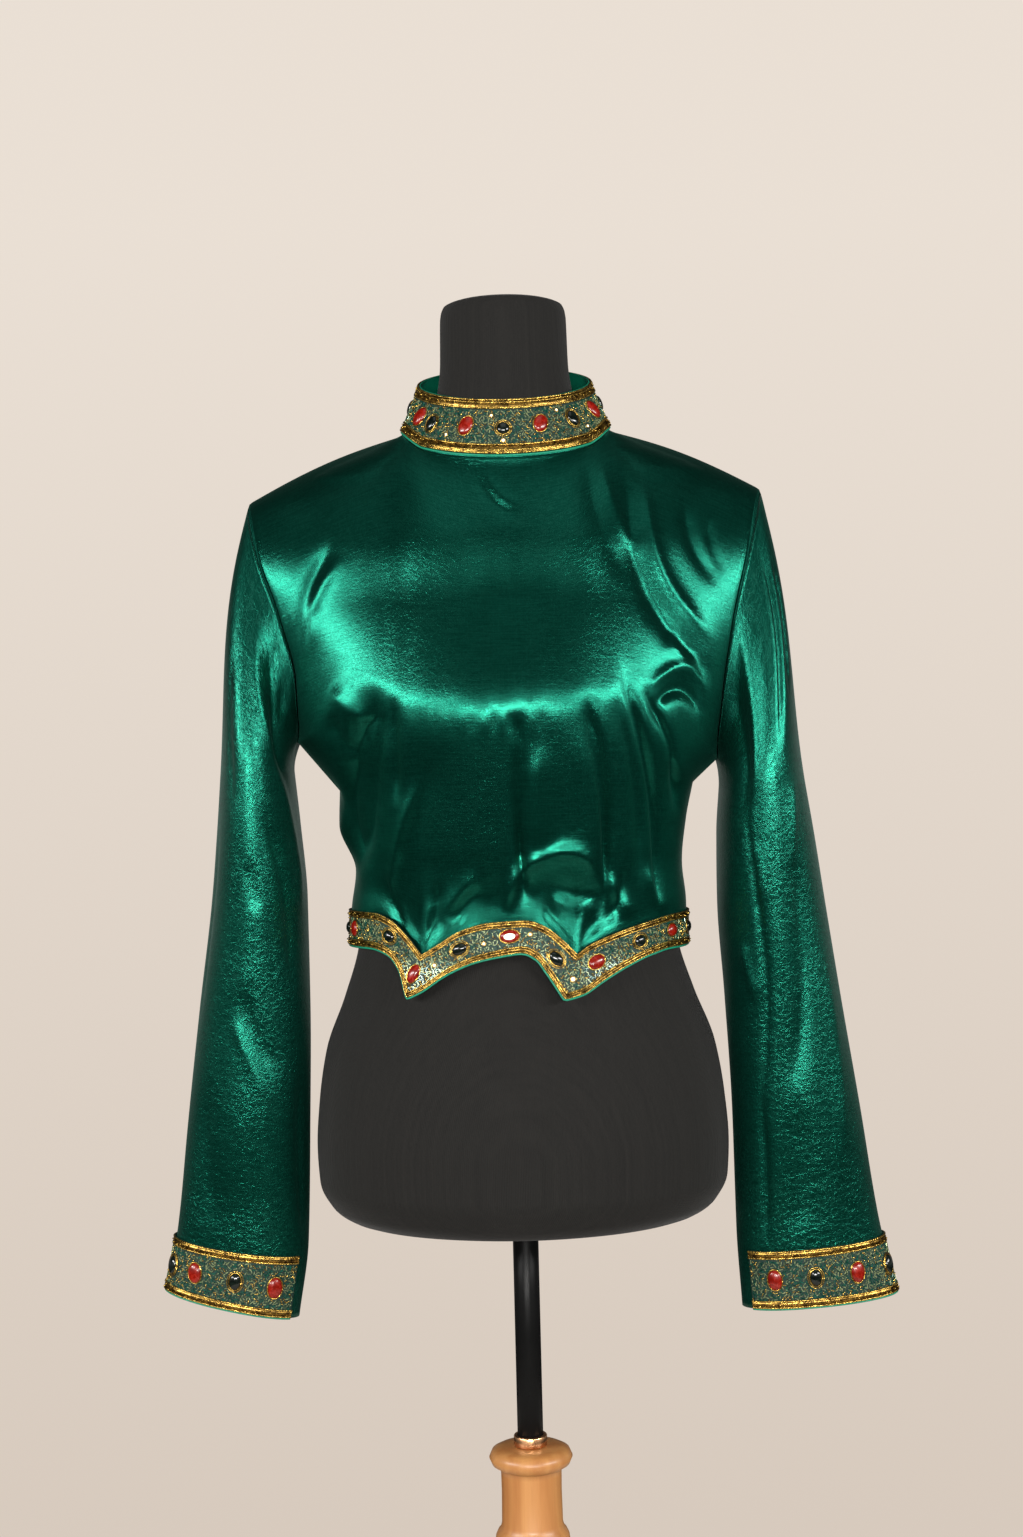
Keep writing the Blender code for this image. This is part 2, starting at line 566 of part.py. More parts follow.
def collar_point(angle, share):
    turn = math.radians(angle)
    ahead = math.cos(turn)
    foot = neckline(angle)
    depth = COLLAR_TOP_FRONT if ahead > 0 else COLLAR_TOP_REAR
    lean = (NECK_DROP + NECK_LIFT) / 2 * ahead * COLLAR_TOP_HALF_WIDTH / NECK_HALF_WIDTH
    head = Vector((COLLAR_TOP_HALF_WIDTH * math.sin(turn), -depth * ahead,
                   NECK_SIDE_HEIGHT + COLLAR_HEIGHT - 4 - lean))
    return foot.lerp(head, share)


def make_collar(front_places, back_places):
    half_front = [90 * s / NECK_SHARE for s in front_places if abs(s) <= NECK_SHARE + 1e-6]
    half_back = [90 * s / NECK_SHARE for s in back_places if 0 <= s <= NECK_SHARE + 1e-6]
    behind = [180 - angle for angle in half_back[::-1]][1:]
    angles = [-angle for angle in behind[::-1]] + half_front + behind
    grid = [[collar_point(angle, k / COLLAR_RUNS) for angle in angles] for k in range(COLLAR_RUNS + 1)]
    return Cloth("collar", "collar", grid), angles


def wall_mesh(name, outer, inner, closed):
    """A closed wall between an outer and an inner grid of points, given in millimetres."""
    mesh = bmesh.new()
    faces = [[[mesh.verts.new(point * MM) for point in line] for line in grid] for grid in (outer, inner)]
    rows, columns = len(outer), len(outer[0])
    spans = columns if closed else columns - 1
    out, back = faces
    for j in range(rows - 1):
        for i in range(spans):
            k = (i + 1) % columns
            mesh.faces.new((out[j][i], out[j][k], out[j + 1][k], out[j + 1][i]))
            mesh.faces.new((back[j][k], back[j][i], back[j + 1][i], back[j + 1][k]))
    for i in range(spans):
        k = (i + 1) % columns
        mesh.faces.new((out[0][k], out[0][i], back[0][i], back[0][k]))
        mesh.faces.new((out[-1][i], out[-1][k], back[-1][k], back[-1][i]))
    if not closed:
        for j in range(rows - 1):
            mesh.faces.new((out[j][0], out[j + 1][0], back[j + 1][0], back[j][0]))
            mesh.faces.new((out[j + 1][-1], out[j][-1], back[j][-1], back[j + 1][-1]))
    return finish_mesh(name, mesh)


def border_mesh(name, outer, inner):
    """A border: a relief of many rows over a plain back of one row between its two edges."""
    mesh = bmesh.new()
    out = [[mesh.verts.new(point * MM) for point in line] for line in outer]
    back = [[mesh.verts.new(point * MM) for point in line] for line in (inner[0], inner[-1])]
    for low, high in zip(out, out[1:]):
        for i in range(len(low) - 1):
            mesh.faces.new((low[i], low[i + 1], high[i + 1], high[i]))
    for i in range(len(out[0]) - 1):
        mesh.faces.new((back[0][i + 1], back[0][i], back[1][i], back[1][i + 1]))
        mesh.faces.new((out[0][i + 1], out[0][i], back[0][i], back[0][i + 1]))
        mesh.faces.new((out[-1][i], out[-1][i + 1], back[1][i + 1], back[1][i]))
    mesh.faces.new([line[0] for line in out] + [back[1][0], back[0][0]])
    mesh.faces.new([line[-1] for line in out[::-1]] + [back[0][-1], back[1][-1]])
    return finish_mesh(name, mesh)


def finish_mesh(name, mesh):
    data = bpy.data.meshes.new(name)
    bmesh.ops.triangulate(mesh, faces=mesh.faces[:])
    mesh.normal_update()
    mesh.to_mesh(data)
    mesh.free()
    return bpy.data.objects.new(name, data)


# Rows of a border from its lower edge: the two braided edges and the stones' own steps.
BORDER_ROWS = [0, 0.17, 0.21, 0.39, 0.61, 0.79, 0.83, 1]
GOLD_ROWS = (0, 1, 6, 7)
STONE_ROWS = (3, 4)


def border_columns(low, high, stones, folds):
    """Places along a border and whether a stone is raised there, with four columns to a stone.

    The cloth under it bends at its own columns, so the border bends there too, but for its stones.
    """
    marks = [(low, 0), (high, 0)]
    for place, half in stones:
        marks += [(place - half, 0), (place - half * 0.45, 1), (place + half * 0.45, 1), (place + half, 0)]
    nearest = (high - low) / 400
    for place in folds:
        stone = any(abs(place - centre) < half for centre, half in stones)
        if low < place < high and not stone and all(abs(place - other) > nearest for other, _ in marks):
            marks.append((place, 0))
    return sorted(marks)


def border_grids(columns, surface, lift=TRIM_LIFT):
    """Outer and inner points of a border; surface gives a point from a place, a row share and a lift."""
    outer, inner = [], []
    for j, share in enumerate(BORDER_ROWS):
        face = lift + TRIM_WALL + (GOLD_RISE if j in GOLD_ROWS else 0.0)
        outer.append([surface(place, share, face + (STONE_RISE if raised and j in STONE_ROWS else 0.0))
                      for place, raised in columns])
        inner.append([surface(place, share, lift) for place, _ in columns])
    return outer, inner


def fraction_index(places, value):
    """Where a value falls among rising places, as a fractional index."""
    k = 0
    while k < len(places) - 2 and value > places[k + 1]:
        k += 1
    return k + (value - places[k]) / (places[k + 1] - places[k])


def make_hem_border(name, panel, places, low, high, stones):
    """The border on a panel's hem, between two places across it."""
    face = FRONT if panel.name == "front" else BACK
    sized = [(stone.place / 90, stone.along / 2 / (HEM_DEGREE * 90)) for stone in stones]
    pins = [SCALLOP_FEET[0], SCALLOP_FEET[1], SCALLOP_HEADS[0], SCALLOP_HEADS[1]] if face == FRONT else []
    columns = border_columns(low, high, sized, list(places) + pins)
    if face == BACK:
        columns = columns[::-1]

    def surface(place, share, lift):
        index = fraction_index(places, place)
        if face == BACK:
            index = len(places) - 1 - index
        foot = hem_level(hem_foot_at, face, place)
        head = hem_level(hem_head_at, face, place)
        base, top = panel.at(index, 0, lift), panel.at(index, HEM_PANEL_ROWS, lift)
        height = foot + (head - foot) * share
        reach = (height - base.z) / (top.z - base.z)
        return base + (top - base) * reach
    outer, inner = border_grids(columns, surface)
    return border_mesh(name, outer, inner)


def make_collar_border(collar, angles):
    span = COLLAR_TOP_HALF_WIDTH * math.pi / 180
    sized = [(stone.place, stone.along / 2 / span) for stone in COLLAR_STONES]
    columns = border_columns(-COLLAR_TRIM_END, COLLAR_TRIM_END, sized, angles)

    def surface(place, share, lift):
        up = COLLAR_TRIM_FOOT + (1 - COLLAR_TRIM_FOOT) * share
        return collar.at(fraction_index(angles, place), up * COLLAR_RUNS, lift)
    outer, inner = border_grids(columns, surface, COLLAR_TRIM_LIFT)
    return border_mesh("collar_trim", outer, inner)


def make_cuff_border(side, sleeve):
    """A cuff's border, all round the sleeve but for a plain strip at the under seam."""
    steps = [360 * k / SLEEVE_SIDES for k in range(SLEEVE_SIDES + 1)]
    rows = SLEEVE[side]
    span = (rows[0].height - rows[-1].height) / SLEEVE_RUNS
    sized = [(stone.place, stone.along / 2 / CUFF_DEGREE) for stone in CUFF_STONES[side]]
    around = sized + [(place - 360, half) for place, half in sized]
    columns = border_columns(-CUFF_TRIM_END, CUFF_TRIM_END, [s for s in around if abs(s[0]) < CUFF_TRIM_END],
                             steps + [step - 360 for step in steps[:-1]])
    if side == RIGHT:
        columns = columns[::-1]

    def surface(place, share, lift):
        turned = place % 360 if side == LEFT else -place % 360
        up = CUFF_TRIM_FOOT + (1 - CUFF_TRIM_FOOT) * share
        return sleeve.at(fraction_index(steps, turned), up * CUFF_HEIGHT / span, lift)
    outer, inner = border_grids(columns, surface)
    return border_mesh("cuff_trim_left" if side == LEFT else "cuff_trim_right", outer, inner)


def make_placket(back_left, back_right):
    """A lapped strip over the centre back opening, from above the hem border to the collar."""
    edge, last_row = len(back_right.grid[0]) - 1, len(back_left.grid)
    columns = [(back_right, edge - PLACKET_HALF_COLUMNS), (back_right, edge),
               (back_left, 0), (back_left, PLACKET_HALF_COLUMNS)]
    rows = [PLACKET_FOOT_ROW] + list(range(3, last_row - 1)) + [last_row - PLACKET_HEAD_GAP]
    outer = [[piece.at(column, row, TRIM_LIFT + TRIM_WALL) for piece, column in columns] for row in rows]
    inner = [[piece.at(column, row, TRIM_LIFT) for piece, column in columns] for row in rows]
    return wall_mesh("back_placket", outer, inner, False)


def make_form():
    mesh = bmesh.new()
    rings = []
    for row in FORM + [FormRow(FORM_TOP, FORM[-1].half_width - FORM_TOP_INSET,
                               FORM[-1].front - FORM_TOP_INSET, FORM[-1].rear - FORM_TOP_INSET)]:
        ring = []
        for k in range(FORM_SIDES):
            turn = 2 * math.pi * k / FORM_SIDES
            depth = row.front if math.sin(turn) < 0 else row.rear
            place = Vector((row.half_width * math.cos(turn), depth * math.sin(turn), row.height))
            ring.append(mesh.verts.new(place * MM))
        rings.append(ring)
    for low, high in zip(rings, rings[1:]):
        for k in range(FORM_SIDES):
            n = (k + 1) % FORM_SIDES
            mesh.faces.new((low[k], low[n], high[n], high[k]))
    mesh.faces.new(rings[0][::-1])
    mesh.faces.new(rings[-1])
    return finish_mesh("form_torso", mesh)


def make_turned(name, outline, sides, solid=True):
    """A turned piece from an outline down its outer side; a solid one is closed on its axis, a ring is not."""
    points = [(point.radius, point.height) for point in outline]
    if solid:
        points = [(0, points[0][1])] + points + [(0, points[-1][1])]
    mesh = bmesh.new()
    corners = [mesh.verts.new((x * MM, 0, z * MM)) for x, z in points]
    for a, b in zip(corners, corners[1:]):
        mesh.edges.new((a, b))
    if not solid:
        mesh.edges.new((corners[-1], corners[0]))
    data = bpy.data.meshes.new(name)
    mesh.to_mesh(data)
    mesh.free()
    piece = bpy.data.objects.new(name, data)
    screw = piece.modifiers.new("turn", "SCREW")
    screw.steps = screw.render_steps = sides
    screw.use_merge_vertices = True
    screw.merge_threshold = 0.00005
    return piece


def make_pole():
    length = FORM[0].height - POLE_GAP - POLE_FOOT
    bpy.ops.mesh.primitive_cylinder_add(vertices=20, radius=POLE_RADIUS * MM, depth=length * MM,
                                        location=(0, 0, (POLE_FOOT + length / 2) * MM))
    pole = bpy.context.object
    pole.name = pole.data.name = "form_pole"
    bpy.context.collection.objects.unlink(pole)
    return pole


Finish = namedtuple("Finish", "color roughness metallic")
FINISHES = {
    "satin": Finish((0.0, 0.085, 0.05), 0.35, 0.0),
    "beaded_braid": Finish((0.16, 0.24, 0.12), 0.4, 0.3),
    "form_cloth": Finish((0.018, 0.016, 0.014), 0.9, 0.0),
    "black_enamel": Finish((0.008, 0.008, 0.008), 0.2, 0.0),
    "brass": Finish((0.75, 0.4, 0.2), 0.3, 1.0),
    "turned_wood": Finish((0.62, 0.36, 0.14), 0.45, 0.0),
}


def make_material(name):
    finish = FINISHES[name]
    material = bpy.data.materials.new(name)
    material.use_nodes = True
    shader = material.node_tree.nodes["Principled BSDF"]
    shader.inputs["Base Color"].default_value = (*finish.color, 1)
    shader.inputs["Roughness"].default_value = finish.roughness
    shader.inputs["Metallic"].default_value = finish.metallic
    return material


def main():
    for leftover in list(bpy.data.objects):
        bpy.data.objects.remove(leftover)
    front_places = panel_columns(FRONT_NECK_RUNS, [SCALLOP_FEET[1], SCALLOP_HEADS[1]])
    back_places = panel_columns(BACK_NECK_RUNS)
    left_places = [s for s in back_places if s <= 0]
    right_places = [s for s in back_places if s >= 0]

    front = make_panel("front", FRONT, front_places, FRONT_FOLDS)
    back_left = make_panel("back_left", BACK, left_places, BACK_FOLDS)
    back_right = make_panel("back_right", BACK, right_places, BACK_FOLDS)
    sleeves = {side: make_sleeve(side) for side in (LEFT, RIGHT)}
    collar, angles = make_collar(front_places, back_places)
    satin = [front, back_left, back_right, sleeves[LEFT], sleeves[RIGHT], collar]
    back_walls(satin)

    made = [(wall_mesh(piece.name, piece.grid, piece.inner, piece.closed), "satin") for piece in satin]
    made.append((make_placket(back_left, back_right), "satin"))
    borders = [
        make_collar_border(collar, angles),
        make_hem_border("hem_trim_front", front, front_places, -HEM_TRIM_SIDE, HEM_TRIM_SIDE, HEM_STONES),
        make_hem_border("hem_trim_back_left", back_left, left_places, -HEM_TRIM_SIDE, -HEM_TRIM_CENTRE,
                        [Stone(-stone.place, stone.along) for stone in HEM_BACK_STONES]),
        make_hem_border("hem_trim_back_right", back_right, right_places, HEM_TRIM_CENTRE, HEM_TRIM_SIDE,
                        HEM_BACK_STONES),
        make_cuff_border(LEFT, sleeves[LEFT]),
        make_cuff_border(RIGHT, sleeves[RIGHT]),
    ]
    made += [(border, "beaded_braid") for border in borders]
    ring_top = POLE_FOOT + RING_HEIGHT
    ring_outline = [TurnPoint(ring_top, RING_INNER), TurnPoint(ring_top, RING_OUTER - RING_BEVEL),
                    TurnPoint(ring_top - RING_BEVEL, RING_OUTER), TurnPoint(POLE_FOOT + RING_BEVEL, RING_OUTER),
                    TurnPoint(POLE_FOOT, RING_OUTER - RING_BEVEL), TurnPoint(POLE_FOOT, RING_INNER)]
    made += [(make_form(), "form_cloth"), (make_pole(), "black_enamel"),
             (make_turned("form_ring", ring_outline, 20, solid=False), "brass"),
             (make_turned("form_post", POST, 20), "turned_wood"),
             (make_turned("form_base", BASE, 36), "turned_wood")]

    collection = bpy.data.collections.new("high_collar_blouse_on_form")
    bpy.context.scene.collection.children.link(collection)
    materials = {name: make_material(name) for name in FINISHES}
    for piece, finish in made:
        collection.objects.link(piece)
        piece.data.materials.append(materials[finish])
        piece.data.shade_smooth()


main()
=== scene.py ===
# A satin blouse with a high collar and beaded borders, on a limbless dress form with a turned stand.
# Tables are in millimetres and degrees, seen from the front; finished meshes are in metres.
import math

import bpy
import numpy as np
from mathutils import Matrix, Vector


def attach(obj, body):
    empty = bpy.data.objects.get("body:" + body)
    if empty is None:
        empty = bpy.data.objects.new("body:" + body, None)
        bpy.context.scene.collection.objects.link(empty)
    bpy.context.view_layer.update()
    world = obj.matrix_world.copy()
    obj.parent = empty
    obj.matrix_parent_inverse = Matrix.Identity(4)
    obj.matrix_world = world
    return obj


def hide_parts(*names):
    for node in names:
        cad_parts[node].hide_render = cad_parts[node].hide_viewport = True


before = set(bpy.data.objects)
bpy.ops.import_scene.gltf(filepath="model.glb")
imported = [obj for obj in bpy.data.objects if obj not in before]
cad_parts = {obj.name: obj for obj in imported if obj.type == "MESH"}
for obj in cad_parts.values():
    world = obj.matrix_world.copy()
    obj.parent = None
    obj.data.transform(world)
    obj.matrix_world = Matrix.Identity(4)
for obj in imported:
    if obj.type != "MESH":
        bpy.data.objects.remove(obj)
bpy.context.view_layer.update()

mm = 0.001
left, right = -1, 1
foreFace, rearFace = -1, 1
random = np.random.default_rng(7)


# Tables of the blouse's form

neck = {"halfWidth": 79.5, "sideHeight": 1400.0, "fore": 78.0, "rear": 72.0, "drop": 30.0, "lift": 28.0,
        "slack": 1.4, "share": 0.42}
collarForm = {"height": 39.0, "halfWidth": 65.5, "fore": 65.0, "rear": 64.0}
yoke = {"row": 7, "top": 11, "slack": 2.0, "crowding": 1.35, "shoulderRise": 5.0}
armholeForm = {"fore": 52.0, "rear": 56.0, "top": {left: 1350.0, right: 1352.0},
               "foot": {left: 1164.0, right: 1142.0}}
formClearance, hemGap = 2.2, 2.0
bodyLevels = (1063.0, 1098.0, 1125.0)

# height, left, right, front, rear
bodyRows = [
    (950, 144, 144, 107, 102), (975, 137, 137.5, 101.5, 96.5), (1003, 130.5, 131.5, 97, 93),
    (1033, 129, 131.5, 97.5, 92), (1063, 125, 129, 99, 92), (1098, 137, 133, 107, 95),
    (1125, 136, 139, 114, 97)]
# row, height, depth, sweep
upperRows = {foreFace: [(4, 1125, 114, 90), (5, 1160, 122, 84), (6, 1190, 125, 72), (7, 1225, 118, 60)],
             rearFace: [(4, 1125, 97, 90), (5, 1160, 99, 84), (6, 1195, 100, 72), (7, 1238, 100, 60)]}
# angle from the shoulder tip, distance from the middle
armholeRows = {left: [(0, 201.5), (30, 197), (60, 189), (90, 174), (120, 164), (150, 164.5), (180, 168.6)],
               right: [(0, 197), (30, 190), (60, 180.5), (90, 168), (120, 160), (150, 157), (180, 158.5)]}
# height, outer, inner, half depth, middle, tilt
sleeveRows = {
    left: [
        (1140, 227, 172, 74, -1, 0), (1100, 230.5, 168, 71, -2, 0), (1042, 236.5, 163.5, 64, -3, 0),
        (960, 248, 163, 54, -5, 0), (867, 259.5, 165, 44, -8, 4), (785, 268.5, 168, 33, -11, 15),
        (732, 278.5, 176.5, 27, -12, 24)],
    right: [
        (1120, 225.5, 160, 74, -1, 0), (1085, 231, 157, 70, -2, 0), (1031, 238.5, 156, 63, -3, 0),
        (960, 248.5, 159.5, 54, -5, 0), (867, 262, 163, 44, -8, 3), (785, 273, 163.5, 33, -11, 8),
        (724, 286, 166.5, 27, -12, 9)]}
capRuns, sleeveRuns = 6, 10
capPull = {"out": 0.22, "spread": 0.3, "down": 0.85}
innerPinch = 0.86       # how the inner half of a sleeve's ring is drawn flatter
# mark, then angle and height of the hem's lower and upper outline, in three runs that meet at its points
hemRuns = [
    [(0, -90, 1006, -90, 1033), (1, -61, 1006.5, -59, 1033), (2, -50, 1003, -48.5, 1029),
     (3, -43, 992, -40, 1017), (4, -37.6, 970.5, -33.5, 1002.5)],
    [(4, -37.6, 970.5, -33.5, 1002.5), (5, -32.6, 975.5, -27.5, 1010), (6, -23, 989.5, -18, 1021.5),
     (7, -12.7, 998.5, -9, 1026.3), (8, 0.5, 1003.5, 2, 1027.5), (9, 5.5, 999, 8.5, 1023),
     (10, 9, 988, 13.4, 1014.5), (11, 13.9, 968.5, 19.4, 1001)],
    [(11, 13.9, 968.5, 19.4, 1001), (12, 20, 972, 24, 1008), (13, 27.5, 981, 30, 1013),
     (14, 37.5, 990.5, 40, 1019), (15, 50, 998, 51, 1023.3), (16, 63, 1001, 63, 1026),
     (17, 90, 1001, 90, 1027)]]
# angle and height
hemFoot = sorted({row[1:3] for run in hemRuns for row in run})
hemHead = [
    (-90, 1033), (-59, 1033), (-48.5, 1029), (-41.5, 1020), (-33.5, 1003), (-28, 1009.5),
    (-16, 1023.5), (-2, 1028), (5.6, 1026.5), (11, 1020), (19.4, 1001.5), (24, 1008), (30, 1013),
    (40, 1019), (50, 1023), (63, 1026), (90, 1027)]
# height, half width, front, rear
formRows = [
    (790, 118, 88, 88), (793, 134, 99, 99), (803, 149, 108, 109), (822, 158.5, 113, 115),
    (850, 160, 113, 117), (885, 157.5, 110, 115), (925, 151, 102, 109), (965, 136, 93, 98),
    (1005, 124, 89, 88), (1045, 119.5, 89, 84), (1075, 121, 93, 85), (1105, 126, 102, 88),
    (1135, 132, 111, 91), (1160, 141, 116.5, 93), (1182, 146.5, 118.5, 94), (1205, 150, 114.5, 94.5),
    (1238, 154, 105, 95), (1275, 159, 96, 94), (1310, 163, 82, 85), (1338, 165, 72, 76),
    (1353, 164.5, 64, 67), (1363, 159, 58, 60), (1370.5, 146, 54, 56), (1378, 128, 51, 53.5),
    (1385.5, 109, 47, 51), (1391.8, 94, 45.5, 50), (1398.4, 79, 45, 49.5), (1404, 68, 45.5, 49.5),
    (1414, 59, 46.5, 49), (1430, 53, 47.5, 49), (1452, 50, 47.5, 48.5), (1490, 49, 47.5, 48),
    (1498, 46.5, 45, 45.5), (1500, 41.5, 40, 40.5)]


def hermite(start, startPull, end, endPull, q):
    return (start * (2 * q ** 3 - 3 * q ** 2 + 1) + startPull * (q ** 3 - 2 * q ** 2 + q)
            + end * (3 * q ** 2 - 2 * q ** 3) + endPull * (q ** 3 - q ** 2))


def ease(low, high, value):
    q = np.clip((value - low) / (high - low), 0.0, 1.0)
    return q * q * (3 - 2 * q)


def unit(vectors):
    return vectors / np.maximum(np.linalg.norm(vectors, axis=-1, keepdims=True), 1e-9)


def vec(x, y, z):
    return np.stack(np.broadcast_arrays(np.asarray(x, float), y, z), axis=-1)


class Smooth:
    # a table's columns as smooth functions of its first column, with no overshoot
    def __init__(self, rows):
        table = np.array(rows, float)
        self.places, self.values = table[:, 0], table[:, 1:]
        secants = np.diff(self.values, axis=0) / np.diff(self.places)[:, None]
        a, b = secants[:-1], secants[1:]
        inner = np.where(a * b > 0, 2 * a * b / np.where(a + b == 0, 1, a + b), 0.0)
        self.slopes = np.vstack([secants[:1], inner, secants[-1:]])

    def __call__(self, place):
        place = np.clip(np.asarray(place, float), self.places[0], self.places[-1])
        k = np.clip(np.searchsorted(self.places, place, side="right") - 1, 0, len(self.places) - 2)
        span = (self.places[k + 1] - self.places[k])[..., None]
        q = (place - self.places[k])[..., None] / span
        startPull, endPull = self.slopes[k] * span, self.slopes[k + 1] * span
        return np.moveaxis(hermite(self.values[k], startPull, self.values[k + 1], endPull, q), -1, 0)


bodyAt, formAt = Smooth(bodyRows), Smooth(formRows)
upperAt = {face: Smooth(rows) for face, rows in upperRows.items()}
armholeOut = {side: Smooth(rows) for side, rows in armholeRows.items()}
sleeveAt = {side: Smooth([(-row[0],) + row[1:] for row in rows]) for side, rows in sleeveRows.items()}
hemFootAt, hemHeadAt = Smooth(hemFoot), Smooth(hemHead)
hemRunAt = [Smooth(rows) for rows in hemRuns]


# The blouse's surface

def formExcess(points):
    halfWidth, fore, rear = formAt(points[..., 2])
    depth = np.where(points[..., 1] < 0, fore, rear)
    return np.hypot(points[..., 0] / halfWidth, points[..., 1] / depth) - 1


def clearOfForm(points, slack=0.0):
    # moves points that lie inside the form, or too near it, out along its normal
    points = np.array(points, float)
    for _ in range(4):
        pull = [formExcess(points + step) - formExcess(points - step) for step in np.eye(3) * 0.5]
        pull = np.stack(pull, axis=-1)
        size = np.maximum(np.linalg.norm(pull, axis=-1), 1e-9)
        inside = (points[..., 2] > formRows[0][0]) & (points[..., 2] < formRows[-1][0])
        short = np.where(inside, formClearance + slack - formExcess(points) / size, 0.0)
        points = points + pull / size[..., None] * np.maximum(short, 0)[..., None]
    return points


def neckline(angle):
    turn = np.radians(angle)
    ahead = np.cos(turn)
    depth = np.where(ahead > 0, neck["fore"], neck["rear"])
    rise = np.where(ahead > 0, neck["drop"], neck["lift"])
    points = vec(neck["halfWidth"] * np.sin(turn), -depth * ahead, neck["sideHeight"] - rise * ahead)
    return clearOfForm(points, neck["slack"] * np.minimum(1, 3 * np.abs(ahead)))


def armhole(side, angle):
    side, angle = np.broadcast_arrays(side, np.asarray(angle, float))
    turn, fold = np.radians(angle), np.minimum(angle, 360 - angle)
    out = np.where(side > 0, armholeOut[right](fold)[0], armholeOut[left](fold)[0])
    top = np.where(side > 0, armholeForm["top"][right], armholeForm["top"][left])
    foot = np.where(side > 0, armholeForm["foot"][right], armholeForm["foot"][left])
    depth = np.where(angle < 180, armholeForm["fore"], armholeForm["rear"])
    middle, half = (top + foot) / 2, (top - foot) / 2
    return clearOfForm(vec(side * out, -depth * np.sin(turn), middle + half * np.cos(turn)))


def shoulder(side, share):
    share = np.clip(share, 0, 1)
    start, end = neckline(side * 90.0), armhole(side, np.zeros_like(share))
    points = start + (end - start) * share[..., None]
    points[..., 2] += yoke["shoulderRise"] * np.sin(np.pi * share)
    return clearOfForm(points)


def topEdge(face, s):
    side = np.where(s > 0, right, left)
    turn = 90 * np.clip(s / neck["share"], -1, 1)
    collar = neckline(turn if face == foreFace else 180 - turn)
    share = (np.abs(s) - neck["share"]) / (1 - neck["share"])
    return np.where((np.abs(s) > neck["share"])[..., None], shoulder(side, share), collar)


def hemLevel(outline, face, s):
    if face == foreFace:
        return outline(90 * s)[0]
    ends = outline(np.array([-90.0, 90.0]))[0]
    return ends[0] + (ends[1] - ends[0]) * (1 + s) / 2


def girthPoints(face, s, height):
    leftHalf, rightHalf, fore, rear = bodyAt(height)
    turn = np.radians(90 * s)
    half = np.where(s > 0, rightHalf, leftHalf)
    return vec(half * np.sin(turn), face * (fore if face == foreFace else rear) * np.cos(turn), height)


def lowHeights(face, s, row):
    stops = [hemLevel(hemFootAt, face, s) + hemGap, hemLevel(hemHeadAt, face, s)]
    stops += [np.full_like(s, height) for height in bodyLevels]
    stops = np.stack(stops)
    k = np.clip(row.astype(int), 0, 3)
    low = np.take_along_axis(stops, k[None], axis=0)[0]
    high = np.take_along_axis(stops, k[None] + 1, axis=0)[0]
    return low + (high - low) * (row - k)


def arcPoints(face, s, row):
    height, depth, sweep = upperAt[face](row)
    side = np.where(s > 0, right, left)
    low = girthPoints(face, side.astype(float), np.full_like(s, bodyLevels[-1]))
    under = armhole(side, np.full_like(s, 180.0))
    angle = 180 - 30 * (np.maximum(row, 5) - 5)
    seam = armhole(side, angle if face == foreFace else 360 - angle)
    edge = np.where((row < 5)[..., None], low + (under - low) * (row - 4)[..., None], seam)
    turn = np.radians(sweep)
    across = np.sin(np.abs(s) * turn) / np.sin(turn)
    back = (1 - np.cos(s * turn)) / (1 - np.cos(turn))
    return vec(edge[..., 0] * across, face * depth + (edge[..., 1] - face * depth) * back,
               height + (edge[..., 2] - height) * s * s)


def yokePoints(face, s, row):
    side = np.where(s > 0, right, left)
    span = yoke["top"] - yoke["row"]
    q = ((row - yoke["row"]) / span)[..., None]
    foot = np.full_like(s, float(yoke["row"]))
    start, end = arcPoints(face, s, foot), topEdge(face, s)
    startPull = (start - arcPoints(face, s, foot - 0.1)) * 10 * span
    over = ease(0, neck["share"], np.abs(s))
    reach = np.linalg.norm(end - start, axis=-1) * (1 + 0.15 * over)
    endPull = vec(0 * s, -face * (0.25 + 0.7 * over), 1 - 0.7 * over) * reach[..., None]
    crowd = 1 - (1 - q) ** yoke["crowding"]
    near = ease(0.4, 1, np.abs(s))[..., None]
    points = hermite(start, startPull, end, endPull, crowd + (q - crowd) * near)
    side = side.astype(float)
    edgeStart, edgeEnd = arcPoints(face, side, foot), topEdge(face, side)
    edgePull = (edgeStart - arcPoints(face, side, foot - 0.1)) * 10 * span
    edgeLength = np.linalg.norm(edgeEnd - edgeStart, axis=-1, keepdims=True)
    last = np.array([0, -face * 0.95, 0.3]) * edgeLength * 1.15
    angle = 120 * (1 - q[..., 0])
    seam = armhole(side, angle if face == foreFace else (360 - angle) % 360)
    return points + (seam - hermite(edgeStart, edgePull, edgeEnd, last, q)) * near


def panelPoints(face, s, row):
    low = girthPoints(face, s, lowHeights(face, s, np.minimum(row, 4)))
    arc = clearOfForm(arcPoints(face, s, np.clip(row, 4, yoke["row"])))
    high = clearOfForm(yokePoints(face, s, np.clip(row, yoke["row"], yoke["top"])),
                       yoke["slack"] * np.clip(yoke["top"] - row, 0, 1))
    upper = np.where((row < yoke["row"])[..., None], arc, high)
    upper = np.where((row >= yoke["top"])[..., None], topEdge(face, s), upper)
    return np.where((row <= 4)[..., None], low, upper)


def sleeveRing(side, angle, height):
    outer, inner, halfDepth, middle, tilt = sleeveAt[side](-height)
    turn = np.radians(angle)
    out = np.cos(turn)
    swing = np.copysign(np.abs(out) ** np.where(out < 0, innerPinch, 1.0), out)
    return vec(side * ((outer + inner) / 2 + (outer - inner) / 2 * swing), middle - halfDepth * np.sin(turn),
               height + tilt / 2 * swing)


